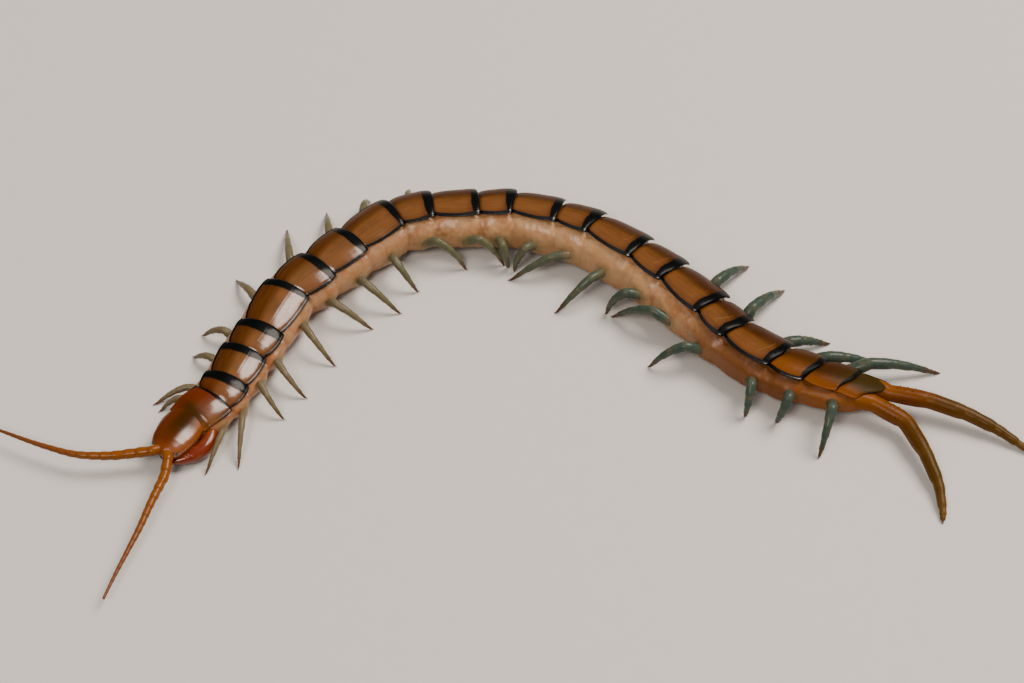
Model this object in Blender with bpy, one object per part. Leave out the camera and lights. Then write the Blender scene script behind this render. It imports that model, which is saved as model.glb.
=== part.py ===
# Giant centipede of the banded desert kind, 21 pairs of legs, as a still life-size model.
# X runs along the picture, head to the left; Y runs away from the viewer; Z is up, floor at 0.
# The viewer looks at the animal's left side. All sizes below are millimetres and degrees.
import math

import bmesh
import bpy
from mathutils import Vector

MM = 0.001
GAP = 0.3
SHARP = 40.0

# One row per body segment, front to back: length of the back plate along the midline,
# heading of the midline toward the tail, half of the plate's width.
SEGMENTS = [
    (4.1, 46.0, 3.05), (3.1, 60.0, 3.05), (5.1, 67.0, 3.10), (4.1, 63.0, 3.15),
    (7.4, 65.0, 3.30), (5.5, 46.5, 3.35), (6.0, 44.0, 3.40), (7.1, 39.0, 3.45),
    (5.0, 14.5, 3.50), (6.4, 1.0, 3.55), (4.7, 0.0, 3.55), (6.5, -16.0, 3.60),
    (5.0, -25.0, 3.60), (7.5, -38.0, 3.60), (5.7, -44.0, 3.55), (7.4, -49.0, 3.50),
    (5.0, -50.5, 3.40), (7.0, -38.0, 3.30), (4.7, -23.0, 3.15), (4.7, -19.0, 2.85),
    (3.7, -23.0, 2.40),
]
START = (-40.85, -13.35)
HEAD_HEADING = 61.0
HEAD_LENGTH = 6.3

# How the trunk changes along its length: (segments behind the head, value). ROLL raises the
# left side, SKEW turns a plate in the picture of its midline, DEPTH is back to belly, BULGE
# half the width at the flanks, KEEL half the width of the flat belly, CLEARANCE its height.
ROLL = [(0, -6), (5, -2), (7, 8), (9, 17), (12, 22), (14, 20), (17, 14), (21, 9)]
SKEW = [(0, 0), (4, 0), (5, 5), (6, 2), (8, 0), (10, 7), (12, 8), (15, 8), (16, 3), (17, 4),
        (18, -2), (19, -12), (21, -10)]
DEPTH = [(0, 2.9), (3, 3.3), (5, 3.8), (8, 4.5), (10, 4.9), (14, 5.0), (16, 4.8), (18, 4.3),
         (20, 3.25), (21, 2.15)]
BULGE = [(0, 3.2), (3, 3.6), (5, 3.9), (8, 4.15), (12, 4.35), (16, 4.25), (18, 4.0), (19, 3.7),
         (20, 3.3), (21, 2.6)]
KEEL = [(0, 2.45), (6, 2.6), (9, 3.0), (12, 3.4), (15, 3.3), (18, 2.7), (20, 2.3), (21, 1.8)]
CLEARANCE = [(0, 0.55), (18, 0.55), (20, 0.80), (21, 1.20)]
# RIM and ARCH: height of a plate's rim as a share of the depth, and its slope there; EDGE: the
# plate's thickness; LEVELLED: how far the belly stays unrolled.
RIM = 0.34
ARCH = 33.0
EDGE = 0.22
LEVELLED = 0.6

# The walking legs, pairs 1 to 20. Each row: place of the hip along its segment (0 front, 1 back),
# foot measured from the hip (toward the tail, outward), lean of the knee away from upright,
# leg length as a multiple of the straight way from hip to foot.
LEFT_LEGS = [
    (0.75, -5.8, 2.9, 42, 1.20), (0.56, -7.4, 3.5, 42, 1.10), (0.56, -3.2, 4.2, 42, 1.40),
    (0.56, -2.6, 5.3, 42, 1.35), (0.60, -3.7, 5.7, 36, 1.30), (0.65, 1.7, 6.1, 28, 1.30),
    (0.56, 1.0, 6.5, 30, 1.25), (0.48, -0.1, 5.0, 38, 1.40), (0.68, 4.9, 2.9, 2, 1.28),
    (0.70, 4.9, 1.7, 2, 1.28), (0.45, 0.8, 1.9, 20, 1.50), (0.56, -2.2, 1.8, 10, 1.35),
    (0.53, -7.0, 3.4, 5, 1.04), (0.58, -3.2, 6.4, 20, 1.10), (0.62, -3.3, 2.4, 0, 1.25),
    (0.56, -7.7, 2.2, 0, 1.12), (0.60, -4.1, 4.8, 5, 1.20), (0.75, 1.3, 2.9, 30, 1.50),
    (0.62, -0.4, 2.2, 35, 1.70), (0.80, 1.5, 6.1, 25, 1.30),
]
RIGHT_LEGS = [
    (0.56, -3.0, 1.8, 60, 1.10), (0.56, -3.9, 4.2, 60, 1.05), (0.80, 0.4, 3.5, 50, 1.10),
    (0.75, -0.6, 4.2, 50, 1.18), (0.83, 3.0, 4.6, 10, 1.05), (0.78, 5.1, 6.6, 10, 1.05),
    (0.92, 3.8, 5.5, 10, 1.08), (0.70, 3.4, 3.8, 20, 1.35), (0.56, 1.0, 4.6, 50, 1.15),
    (0.56, -3.0, 3.0, 60, 1.15), (0.56, -4.4, 2.6, 60, 1.15), (0.56, -5.4, 2.2, 60, 1.12),
    (0.56, -5.2, 2.2, 60, 1.12), (0.56, -5.6, 2.2, 60, 1.10), (0.56, -4.8, 2.2, 60, 1.08),
    (0.50, -0.1, 8.6, 15, 1.14), (0.50, -1.2, 9.2, 15, 1.14), (0.60, 4.6, 5.7, 10, 1.06),
    (0.56, 7.8, 5.2, 10, 1.04), (0.56, 10.2, 7.1, 10, 1.05),
]
HIP_DROP = [(1, 0.33), (13, 0.30), (15, 0.24), (17, 0.27), (19, 0.14), (20, 0.09)]
FAR_HIP_DROP = [(1, 0.36), (8, 0.42), (13, 0.46), (17, 0.42), (20, 0.25)]
HIP_PROUD = 0.23
COXA_RADIUS = [(1, 0.72), (5, 0.85), (20, 0.85)]
LEG_SIZE = [(1, 0.85), (5, 1.0), (18, 1.0), (20, 1.2)]
LEG_SIDES = 8


def ramp(table, at):
    """Straight-line value between the rows of a two-column table."""
    if at <= table[0][0]:
        return table[0][1]
    for (a, va), (b, vb) in zip(table, table[1:]):
        if at <= b:
            return va + (vb - va) * (at - a) / (b - a)
    return table[-1][1]


def flat(heading):
    """Level direction with this heading."""
    return Vector((math.cos(math.radians(heading)), math.sin(math.radians(heading)), 0))


# Midline.
JOINTS = [Vector((START[0], START[1], 0))]
for length, heading, half in SEGMENTS:
    JOINTS.append(JOINTS[-1] + flat(heading) * length)
JOINTS.insert(0, JOINTS[0] - flat(HEAD_HEADING) * HEAD_LENGTH)


def centre_height(at):
    """Height of the trunk's centre that keeps its belly just off the floor; the soft belly
    lies more nearly level than the rolled back plates."""
    roll = math.radians(abs(ramp(ROLL, at)))
    lean = ramp(KEEL, at) * math.sin(roll) * (1 - LEVELLED)
    return (1 - RIM) * ramp(DEPTH, at) * math.cos(roll) + lean + ramp(CLEARANCE, at)


def station(at):
    """Frame on the midline, at segments behind the head: point, tailward, left, up."""
    k = min(max(int(math.floor(at)) + 1, 0), len(JOINTS) - 2)
    u = at + 1 - k
    p0, p1 = JOINTS[k], JOINTS[k + 1]
    before = JOINTS[k - 1] if k > 0 else p0 - (p1 - p0)
    after = JOINTS[k + 2] if k + 2 < len(JOINTS) else p1 + (p1 - p0)
    m0 = (p1 - before) * (p1 - p0).length / ((p1 - p0).length + (p0 - before).length)
    m1 = (after - p0) * (p1 - p0).length / ((p1 - p0).length + (after - p1).length)
    point = (p0 * (2 * u ** 3 - 3 * u ** 2 + 1) + m0 * (u ** 3 - 2 * u ** 2 + u)
             + p1 * (3 * u ** 2 - 2 * u ** 3) + m1 * (u ** 3 - u ** 2))
    tail = (p0 * (6 * u ** 2 - 6 * u) + m0 * (3 * u ** 2 - 4 * u + 1)
            + p1 * (6 * u - 6 * u ** 2) + m1 * (3 * u ** 2 - 2 * u)).normalized()
    turn = math.radians(ramp(SKEW, at))
    tail = Vector((tail.x * math.cos(turn) - tail.y * math.sin(turn),
                   tail.x * math.sin(turn) + tail.y * math.cos(turn), 0))
    left = Vector((tail.y, -tail.x, 0))
    roll = math.radians(ramp(ROLL, at))
    up = Vector((0, 0, 1)) * math.cos(roll) - left * math.sin(roll)
    left = left * math.cos(roll) + Vector((0, 0, 1)) * math.sin(roll)
    point.z = centre_height(at)
    return point, tail, left, up


# Mesh helpers.
def loft(rings):
    """Closed skin over rings of equal count, with flat caps."""
    mesh = bmesh.new()
    rows = [[mesh.verts.new(p * MM) for p in ring] for ring in rings]
    count = len(rows[0])
    for a, b in zip(rows, rows[1:]):
        for i in range(count):
            mesh.faces.new((a[i], a[(i + 1) % count], b[(i + 1) % count], b[i]))
    mesh.faces.new(rows[0][::-1])
    mesh.faces.new(rows[-1])
    bmesh.ops.recalc_face_normals(mesh, faces=mesh.faces[:])
    if mesh.calc_volume(signed=True) < 0:
        bmesh.ops.reverse_faces(mesh, faces=mesh.faces[:])
    return mesh


def disc(centre, normal, radius, sides):
    """Ring of points round an axis."""
    across = normal.cross(Vector((0, 0, 1))).normalized()
    over = across.cross(normal).normalized()
    return [centre + across * radius * math.cos(2 * math.pi * i / sides)
            + over * radius * math.sin(2 * math.pi * i / sides) for i in range(sides)]


def tube(points, radii, sides, first=None, last=None):
    """Tapering limb through the points; end rings may be given their own facing."""
    rings = []
    for i, p in enumerate(points):
        a = points[max(i - 1, 0)]
        b = points[min(i + 1, len(points) - 1)]
        facing = (b - a).normalized()
        if i == 0 and first is not None:
            facing = first
        if i == len(points) - 1 and last is not None:
            facing = last
        rings.append(disc(p, facing, radii[i], sides))
    return loft(rings)


def material(name, colour, rough):
    """Plain coloured surface."""
    mat = bpy.data.materials.new(name)
    mat.use_nodes = True
    shader = mat.node_tree.nodes["Principled BSDF"]
    shader.inputs["Base Color"].default_value = (*colour, 1)
    shader.inputs["Roughness"].default_value = rough
    shader.inputs["Metallic"].default_value = 0.0
    mat.diffuse_color = (*colour, 1)
    return mat


def to_object(name, mesh, mat):
    """Put a mesh into the scene under its node name."""
    bmesh.ops.triangulate(mesh, faces=[f for f in mesh.faces if len(f.verts) > 4])
    data = bpy.data.meshes.new(name)
    mesh.to_mesh(data)
    mesh.free()
    obj = bpy.data.objects.new(name, data)
    bpy.context.scene.collection.objects.link(obj)
    data.materials.append(mat)
    data.shade_smooth()
    data.set_sharp_from_angle(angle=math.radians(SHARP))
    return obj


def united(name, meshes, mat):
    """One closed body made from overlapping closed bodies."""
    base = to_object(name, meshes[0], mat)
    if len(meshes) > 1:
        group = bpy.data.collections.new(name + "_adds")
        bpy.context.scene.collection.children.link(group)
        for i, mesh in enumerate(meshes[1:]):
            extra = to_object(name + "_add%d" % i, mesh, mat)
            bpy.context.scene.collection.objects.unlink(extra)
            group.objects.link(extra)
        cut = base.modifiers.new("join", "BOOLEAN")
        cut.operation = "UNION"
        cut.solver = "EXACT"
        cut.operand_type = "COLLECTION"
        cut.collection = group
        bpy.context.view_layer.update()
        shape = bpy.data.meshes.new_from_object(
            base.evaluated_get(bpy.context.evaluated_depsgraph_get()))
        base.modifiers.clear()
        base.data = shape
        for extra in list(group.objects):
            bpy.data.objects.remove(extra)
        bpy.data.collections.remove(group)
    mesh = bmesh.new()
    mesh.from_mesh(base.data)
    bmesh.ops.remove_doubles(mesh, verts=mesh.verts[:], dist=0.00005)
    keep_largest(mesh)
    bmesh.ops.triangulate(mesh, faces=[f for f in mesh.faces if len(f.verts) > 4])
    mesh.to_mesh(base.data)
    mesh.free()
    base.data.materials.clear()
    base.data.materials.append(mat)
    base.data.shade_smooth()
    base.data.set_sharp_from_angle(angle=math.radians(SHARP))
    return base


def keep_largest(mesh):
    """Drop every loose surface but the one with most faces."""
    left_over = set(mesh.faces)
    groups = []
    while left_over:
        stack = [left_over.pop()]
        group = list(stack)
        while stack:
            for edge in stack.pop().edges:
                for face in edge.link_faces:
                    if face in left_over:
                        left_over.discard(face)
                        stack.append(face)
                        group.append(face)
        groups.append(group)
    groups.sort(key=len)
    spare = [f for group in groups[:-1] for f in group]
    if spare:
        bmesh.ops.delete(mesh, geom=spare, context="FACES")
    loose = [v for v in mesh.verts if not v.link_faces]
    bmesh.ops.delete(mesh, geom=loose, context="VERTS")


for old in list(bpy.data.objects):
    bpy.data.objects.remove(old)

PLATE = material("amber_plate", (0.50, 0.22, 0.05), 0.3)
HEAD_SHELL = material("red_brown_head", (0.42, 0.11, 0.025), 0.28)
ANTENNA = material("orange_antenna", (0.62, 0.27, 0.05), 0.4)
FANG = material("red_fang", (0.50, 0.10, 0.02), 0.3)
LEG = material("blue_green_leg", (0.17, 0.26, 0.24), 0.35)
LAST_LEG = material("orange_last_leg", (0.45, 0.22, 0.06), 0.35)


# Trunk.
def body_point(at, across, over):
    """Point of the trunk at this place, across to the left and over the centre."""
    point, tail, left, up = station(at)
    depth = ramp(DEPTH, at)
    sunk = max(RIM * depth - over, 0) / depth
    spot = point + left * across + up * over
    spot.z -= LEVELLED * sunk * across * left.z
    return spot


def section(at, plate=1.0, lift=0.0, flank=1.0):
    """Ring across the trunk: arched back plate, its rim, soft flank, flat belly."""
    depth = ramp(DEPTH, at)
    half = ramp([(i + 0.5, row[2]) for i, row in enumerate(SEGMENTS)], at) * plate
    bulge = ramp(BULGE, at) * flank
    rim = RIM * depth
    belly = rim - depth
    keel = ramp(KEEL, at) * flank
    turn = math.radians(ARCH)
    side = []
    for q in (0, 0.3, 0.58, 0.82, 1):
        rise = (math.cos(q * turn) - math.cos(turn)) / math.sin(turn)
        side.append((half * math.sin(q * turn) / math.sin(turn), rim + half * rise + lift))
    side += [(half - 0.12, rim - EDGE), (half - 0.10, rim - 0.55),
             (bulge - 0.05, 0.0), (bulge, -0.25 * depth),
             (bulge - 0.34, -0.50 * depth), (keel, belly + 0.14),
             (keel - 0.35, belly), (0, belly)]
    pairs = side + [(-a, b) for a, b in side[-2:0:-1]]
    return [body_point(at, a, b) for a, b in pairs]


PROFILE = [
    (0.00, 0.79, -0.22, 0.94), (0.10, 0.88, -0.10, 0.97), (0.34, 0.98, 0.02, 1.0),
    (0.72, 1.02, 0.08, 1.0), (0.93, 1.02, 0.12, 0.98), (1.00, 0.95, 0.10, 0.95),
]


def hip(pair, side):
    """Centre and facing of the end of a coxa on the trunk."""
    at = pair - 1 + (LEFT_LEGS if side > 0 else RIGHT_LEGS)[pair - 1][0]
    tail, left = station(at)[1:3]
    drop = ramp(HIP_DROP if side > 0 else FAR_HIP_DROP, pair) * ramp(DEPTH, at)
    centre = body_point(at, side * (ramp(BULGE, at) + HIP_PROUD), -drop)
    level = Vector((left.x * side, left.y * side, 0)).normalized()
    return centre, level, tail


def coxa(pair, side):
    """Short stub on the flank that a leg starts from."""
    centre, level, tail = hip(pair, side)
    size = ramp(COXA_RADIUS, pair)
    inner = centre - level * 1.6
    return tube([inner, centre - level * 0.35, centre], [size * 1.25, size * 1.05, size * 0.8],
                10, level, level)


def trunk(number):
    """Three segments as one body, with their six coxae."""
    first = 3 * number - 3
    rings = []
    for k in range(first, first + 3):
        length = SEGMENTS[k][0]
        for j, (u, plate, lift, flank) in enumerate(PROFILE):
            if k == first and j == 0:
                u = (0.5 * GAP) / length if k else GAP / length
            elif k == first + 2 and j == len(PROFILE) - 1:
                u = 1 - (0.5 * GAP) / length if k < 20 else 1.0
            elif j == 0:
                u = 0.06 / length
            rings.append(section(k + u, plate, lift, flank))
    bodies = [loft(rings)]
    for pair in range(first + 1, first + 4):
        if pair <= 20:
            bodies += [coxa(pair, 1), coxa(pair, -1)]
        else:
            bodies += [last_coxa(1), last_coxa(-1)]
    return united("trunk_%d" % number, bodies, PLATE)


# Last pair.
# Each article of the last legs: length, heading, height of its far end.
LAST_LEFT = [(4.4, -31, 2.3), (5.3, -67, 2.0), (4.7, -74, 1.3), (3.7, -87, 0.5), (1.3, -97, 0.0)]
LAST_RIGHT = [(5.3, -13, 2.6), (5.1, -21, 2.1), (4.2, -28, 1.4), (3.4, -35, 0.7), (2.8, -40, 0.0)]
LAST_RADII = [1.04, 1.16, 1.06, 1.02, 0.90, 0.80, 0.66, 0.56, 0.42, 0.28, 0.2]


def last_hip(side):
    """End of the stout coxa that carries a last leg."""
    point, tail, left, up = station(20.9)
    level = Vector((tail.x, tail.y, 0)).normalized()
    centre = point + left * (1.1 if side > 0 else -1.7) + up * (0.0 if side > 0 else 0.2)
    return centre + level * (0.2 if side > 0 else 0.7), level


def last_coxa(side):
    """Stout coxa under the last plate."""
    centre, level = last_hip(side)
    return tube([centre - level * 2.5, centre - level * 0.7, centre], [0.9, 1.14, 1.04], 12,
                level, level)


def last_leg(side):
    """Stout hindmost leg, trailing, its tip on the floor."""
    centre, level = last_hip(side)
    points = [centre + level * GAP]
    for length, heading, height in (LAST_LEFT if side > 0 else LAST_RIGHT):
        drop = points[-1].z - height
        end = points[-1] + flat(heading) * math.sqrt(length ** 2 - drop ** 2)
        end.z = height
        points += [(points[-1] + end) / 2, end]
    name = "leg_%s_21" % ("left" if side > 0 else "right")
    return to_object(name, tube(points, LAST_RADII, 10, level, Vector((0, 0, -1))), LAST_LEG)


# Walking legs.
ARTICLES = [0.26, 0.24, 0.22, 0.18, 0.10]
BENDS = [0.0, 0.60, 0.80, 0.93, 1.0]
LEG_RADII = [0.60, 0.64, 0.54, 0.53, 0.45, 0.42, 0.33, 0.29, 0.22, 0.15]


def chain(total, reach):
    """Joints of a leg along and off the line from hip to foot, bent so that it spans it."""
    span = min(reach, total * 0.992)

    def lay(bend, start):
        points = [(0.0, 0.0)]
        for share, part in zip(ARTICLES, BENDS):
            angle = start - bend * part
            points.append((points[-1][0] + share * total * math.cos(angle),
                           points[-1][1] + share * total * math.sin(angle)))
        return points

    low, high = 0.0, math.radians(200)
    for step in range(40):
        middle = (low + high) / 2
        end = lay(middle, 0.0)[-1]
        if math.hypot(*end) > span:
            low = middle
        else:
            high = middle
    end = lay(low, 0.0)[-1]
    return lay(low, -math.atan2(end[1], end[0]))


def walking_leg(pair, side):
    """One walking leg from its coxa to its claw."""
    centre, level, tail = hip(pair, side)
    back, out, lean, slack = (LEFT_LEGS if side > 0 else RIGHT_LEGS)[pair - 1][1:]
    start = centre + level * GAP
    foot = centre + tail * back + level * out
    foot.z = 0
    reach = (foot - start).length
    chord = (foot - start).normalized()
    tilt = math.radians(lean)
    arch = (Vector((0, -1, 0)) if side > 0 else level) * math.sin(tilt)
    arch += Vector((0, 0, math.cos(tilt)))
    arch = (arch - chord * arch.dot(chord)).normalized()
    joints = [start + chord * a + arch * b for a, b in chain(slack * reach, reach)]
    joints[-1].z = 0.0
    points = [joints[0]]
    for i in range(1, 4):
        points += [(joints[i - 1] + joints[i]) / 2, joints[i]]
    points += [(joints[3] + joints[4]) / 2, joints[4], joints[5]]
    size = ramp(LEG_SIZE, pair)
    name = "leg_%s_%02d" % ("left" if side > 0 else "right", pair)
    mesh = tube(points, [r * size for r in LEG_RADII], LEG_SIDES, level, Vector((0, 0, -1)))
    return to_object(name, mesh, LEG)


# Head.
def head():
    """Flat oval head shell with the broad fang plate under it."""
    rings = []
    for u, half, top, bottom in ((0.04, 2.40, 1.0, -0.9), (0.10, 2.58, 1.1, -0.95),
                                 (0.30, 2.66, 1.18, -0.95), (0.52, 2.6, 1.15, -0.9),
                                 (0.72, 2.32, 0.97, -0.8), (0.86, 1.85, 0.72, -0.65),
                                 (0.95, 1.35, 0.45, -0.45), (1.0, 0.9, 0.25, -0.25)):
        point, tail, left, up = station(-u)
        ring = []
        for i in range(20):
            turn = 2 * math.pi * i / 20
            a, b = math.cos(turn), math.sin(turn)
            ring.append(point + left * half * math.copysign(abs(a) ** 0.8, a)
                        + up * (b * (top if b > 0 else -bottom) + 0.55))
        rings.append(ring)
    plate = []
    for u, half, top, bottom in ((0.03, 1.9, -0.2, -1.5), (0.2, 2.1, -0.2, -1.75),
                                 (0.45, 1.9, -0.2, -1.7), (0.60, 1.3, -0.2, -1.4)):
        point, tail, left, up = station(-u)
        plate.append([point + left * half * a + up * (top if b > 0 else bottom)
                      for a, b in ((1, 1), (1, 0), (0.7, -1), (-0.7, -1), (-1, 0), (-1, 1))])
        for i in (1, 4):
            plate[-1][i] = (plate[-1][i - 1 if i == 1 else 5]
                            + plate[-1][2 if i == 1 else 3]) / 2 + left * (0.15 if i == 1 else -0.15)
    bodies = [loft(rings), loft(plate)]
    for side in (1, -1):
        socket, facing = feeler_root(side)
        bodies.append(tube([socket - facing * 1.6, socket], [0.7, 0.62], 10, facing, facing))
        root, facing = fang_root(side)
        bodies.append(tube([root - facing * 1.4, root], [0.9, 0.8], 10, facing, facing))
    return united("head", bodies, HEAD_SHELL)


def feeler_root(side):
    """Socket of an antenna at the front of the head."""
    point, tail, left, up = station(-0.97)
    facing = (left * side * 0.75 - tail).normalized()
    return point + left * side * 1.0 + up * 0.65 - tail * 0.15, facing


# How far out each fang's shoulder is and how far the fang swells out from it; the right one is
# folded in closer.
FANG_OUT = {1: 2.2, -1: 2.15}
FANG_SPREAD = {1: 1.0, -1: 0.80}


def fang_root(side):
    """Shoulder that a fang swings on, beside the fang plate."""
    point, tail, left, up = station(-0.22)
    facing = (left * side - tail * 0.25).normalized()
    return point + left * side * FANG_OUT[side] - up * 0.95, facing


def fang(side):
    """Curved fang, out from its shoulder and in to a point under the head's front."""
    root, facing = fang_root(side)
    point, tail, left, up = station(-0.22)
    rings_at = [(0.0, 0.3, 0.0, 0.74), (-0.40, 0.95, 0.0, 0.88), (0.3, 1.22, -0.05, 0.94),
                (1.1, 1.22, -0.08, 0.95), (2.2, 0.85, -0.12, 0.84), (3.1, 0.3, -0.18, 0.65),
                (3.9, -0.4, -0.25, 0.43), (4.55, -1.1, -0.3, 0.2)]
    spread = FANG_SPREAD[side]
    points = [root - tail * a + left * side * b * spread + up * c for a, b, c, r in rings_at]
    points[0] = root + facing * GAP
    mesh = tube(points, [r * spread for a, b, c, r in rings_at], 10, facing)
    return to_object("forcipule_" + ("left" if side > 0 else "right"), mesh, FANG)


# Antennae.
# Path of each antenna from its socket: length of the stretch, heading, height at its end.
LEFT_FEELER = [(2.2, -96, 2.7), (2.0, -106, 2.7), (2.6, -108, 2.6), (3.6, -107, 2.3),
               (3.6, -110, 2.0), (3.6, -110, 1.7), (3.2, -107, 1.6)]
RIGHT_FEELER = [(2.6, 182, 2.9), (2.9, 187, 2.9), (4.0, 176, 2.8), (4.3, 161, 2.6),
                (3.2, 157, 2.5), (2.8, 155, 2.4), (2.8, 157, 2.3)]
FEELER_RADII = [0.62, 0.68, 0.58, 0.48, 0.39, 0.30, 0.23, 0.16]


def feeler(side):
    """Tapering antenna."""
    socket, facing = feeler_root(side)
    points = [socket + facing * GAP]
    for length, heading, height in (LEFT_FEELER if side > 0 else RIGHT_FEELER):
        end = points[-1] + flat(heading) * length
        end.z = height
        points.append(end)
    mesh = tube(points, FEELER_RADII, 10, facing)
    return to_object("antenna_" + ("left" if side > 0 else "right"), mesh, ANTENNA)


head()
for number in range(1, 8):
    trunk(number)
for side in (1, -1):
    feeler(side)
    fang(side)
    for pair in range(1, 21):
        walking_leg(pair, side)
    last_leg(side)

# Bring the middle of the whole animal's box over the origin.
low = Vector((1e9, 1e9, 1e9))
high = -low
for obj in bpy.data.objects:
    for v in obj.data.vertices:
        low = Vector(map(min, low, v.co))
        high = Vector(map(max, high, v.co))
shift = Vector(((low.x + high.x) / 2, (low.y + high.y) / 2, low.z))
for obj in bpy.data.objects:
    for v in obj.data.vertices:
        v.co -= shift
    obj.data.update()
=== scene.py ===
import math

import bpy
import numpy as np
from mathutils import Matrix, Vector, noise


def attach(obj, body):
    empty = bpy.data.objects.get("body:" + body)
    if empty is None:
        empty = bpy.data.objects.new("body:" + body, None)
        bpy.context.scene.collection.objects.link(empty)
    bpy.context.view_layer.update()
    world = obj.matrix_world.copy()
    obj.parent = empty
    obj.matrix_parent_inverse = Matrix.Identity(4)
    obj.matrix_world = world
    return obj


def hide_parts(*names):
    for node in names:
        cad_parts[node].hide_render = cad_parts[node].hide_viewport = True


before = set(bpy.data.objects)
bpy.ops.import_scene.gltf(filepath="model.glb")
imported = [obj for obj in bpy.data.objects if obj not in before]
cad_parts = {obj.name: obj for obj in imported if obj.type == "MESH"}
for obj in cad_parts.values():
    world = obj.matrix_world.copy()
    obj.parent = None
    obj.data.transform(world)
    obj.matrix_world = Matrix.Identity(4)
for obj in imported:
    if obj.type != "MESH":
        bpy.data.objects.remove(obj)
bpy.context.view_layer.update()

# The view. The animal is looked down on from its left side through a long lens, so that near
# and far legs keep nearly the same size. Its lengths are millimetres until MM turns them into
# metres; SHIFT brings them to the middle of the whole animal's box.
MM = 0.001
SHIFT = np.array((-0.11, -5.155, 0.0))
VIEW_LIFT = math.radians(50)
VIEW_DISTANCE = 314.3
VIEW_HEIGHT = 2.5
LENS = 85
SENSOR = 36

target = np.array((0.0, 0.0, VIEW_HEIGHT)) - SHIFT
away = np.array((0.0, -math.cos(VIEW_LIFT), math.sin(VIEW_LIFT)))
camera_data = bpy.data.cameras.new("view")
camera_data.lens = LENS
camera_data.sensor_width = SENSOR
camera_data.clip_start = 0.01
camera = bpy.data.objects.new("view", camera_data)
camera.location = (target + away * VIEW_DISTANCE) * MM
camera.rotation_euler = (math.pi / 2 - VIEW_LIFT, 0, 0)
bpy.context.scene.collection.objects.link(camera)
bpy.context.scene.camera = camera

# The room. A pale matt floor, one large soft box behind and to the right that lays the broad
# gleam on the front plates, a weaker one on the viewer's side, and a dim grey room round them.
# edge of the floor in metres
FLOOR_SIZE = 6.0
FLOOR_COLOUR = (0.66, 0.645, 0.62)
# name, bearing from the animal (x, y, z), distance in metres, edge in metres, watts
SOFT_BOXES = (
    ("key_box", (0.484, 0.265, 0.834), 0.9, 0.475, 10.3),
    ("front_box", (-0.25, -0.55, 0.80), 1.1, 0.34, 5.5),
)
LAMP_COLOUR = (1.0, 0.87, 0.76)
ROOM_TOP = (0.34, 0.34, 0.345)
ROOM_SIDE = (0.07, 0.065, 0.06)
# how deep light soaks into a surface that lets it in, in millimetres
SOAK = 0.6


class Wire:
    """One socket of a material's nodes; sums on it add the Math nodes that work them out."""

    def __init__(self, tree, socket=None):
        self.tree = tree
        self.socket = socket

    def add(self, kind, settings, sockets, out=0):
        """Any node: its settings first, then the values or links of its sockets."""
        node = self.tree.nodes.new(kind)
        for name, value in settings.items():
            setattr(node, name, value)
        for name, value in sockets.items():
            if isinstance(value, Wire):
                self.tree.links.new(value.socket, node.inputs[name])
            else:
                node.inputs[name].default_value = value
        return Wire(self.tree, node.outputs[out])

    def sum(self, operation, a, b=0.0):
        """One Math node on two values."""
        return self.add("ShaderNodeMath", {"operation": operation}, {0: a, 1: b})

    def __add__(self, other):
        return self.sum("ADD", self, other)

    __radd__ = __add__

    def __sub__(self, other):
        return self.sum("SUBTRACT", self, other)

    def __rsub__(self, other):
        return self.sum("SUBTRACT", other, self)

    def __mul__(self, other):
        return self.sum("MULTIPLY", self, other)

    __rmul__ = __mul__

    def __abs__(self):
        return self.sum("ABSOLUTE", self)

    def at_most(self, top):
        """This value, or top where it is higher."""
        return self.sum("MINIMUM", self, top)

    def rise(self, low, high):
        """0 below low, 1 above high, soft between; falls where low is over high."""
        way = {"interpolation_type": "SMOOTHSTEP"}
        if low > high:
            return 1 - self.rise(high, low)
        return self.add("ShaderNodeMapRange", way, {"Value": self, "From Min": low, "From Max": high})

    def mark(self, name):
        """A value written on the mesh, point by point."""
        return self.add("ShaderNodeAttribute", {"attribute_name": name}, {}, out="Fac")

    def grain(self, size, detail=3.0):
        """Soft random mottling between 0 and 1 whose patches are about size millimetres."""
        place = self.add("ShaderNodeTexCoord", {}, {}, out="Object")
        return self.add("ShaderNodeTexNoise", {}, {"Vector": place, "Scale": 1 / (size * MM),
                                                   "Detail": detail, "Roughness": 0.55})

    def streaks(self, across, way, seed, fine):
        """Mottling drawn out along the body, fine streaks to its half width, set apart by seed."""
        place = self.add("ShaderNodeCombineXYZ", {},
                         {0: across * fine, 1: way * 0.35, 2: seed * 3.7})
        return self.add("ShaderNodeTexNoise", {}, {"Vector": place, "Scale": 1.0, "Detail": 4.0,
                                                   "Roughness": 0.6})

    def mix(self, share, low, high):
        """Colour low where share is 0 and high where it is 1."""
        low, high = ((*c, 1) if isinstance(c, tuple) else c for c in (low, high))
        return self.add("ShaderNodeMix", {"data_type": "RGBA", "clamp_factor": True},
                        {0: share, 6: low, 7: high}, out=2)


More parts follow.
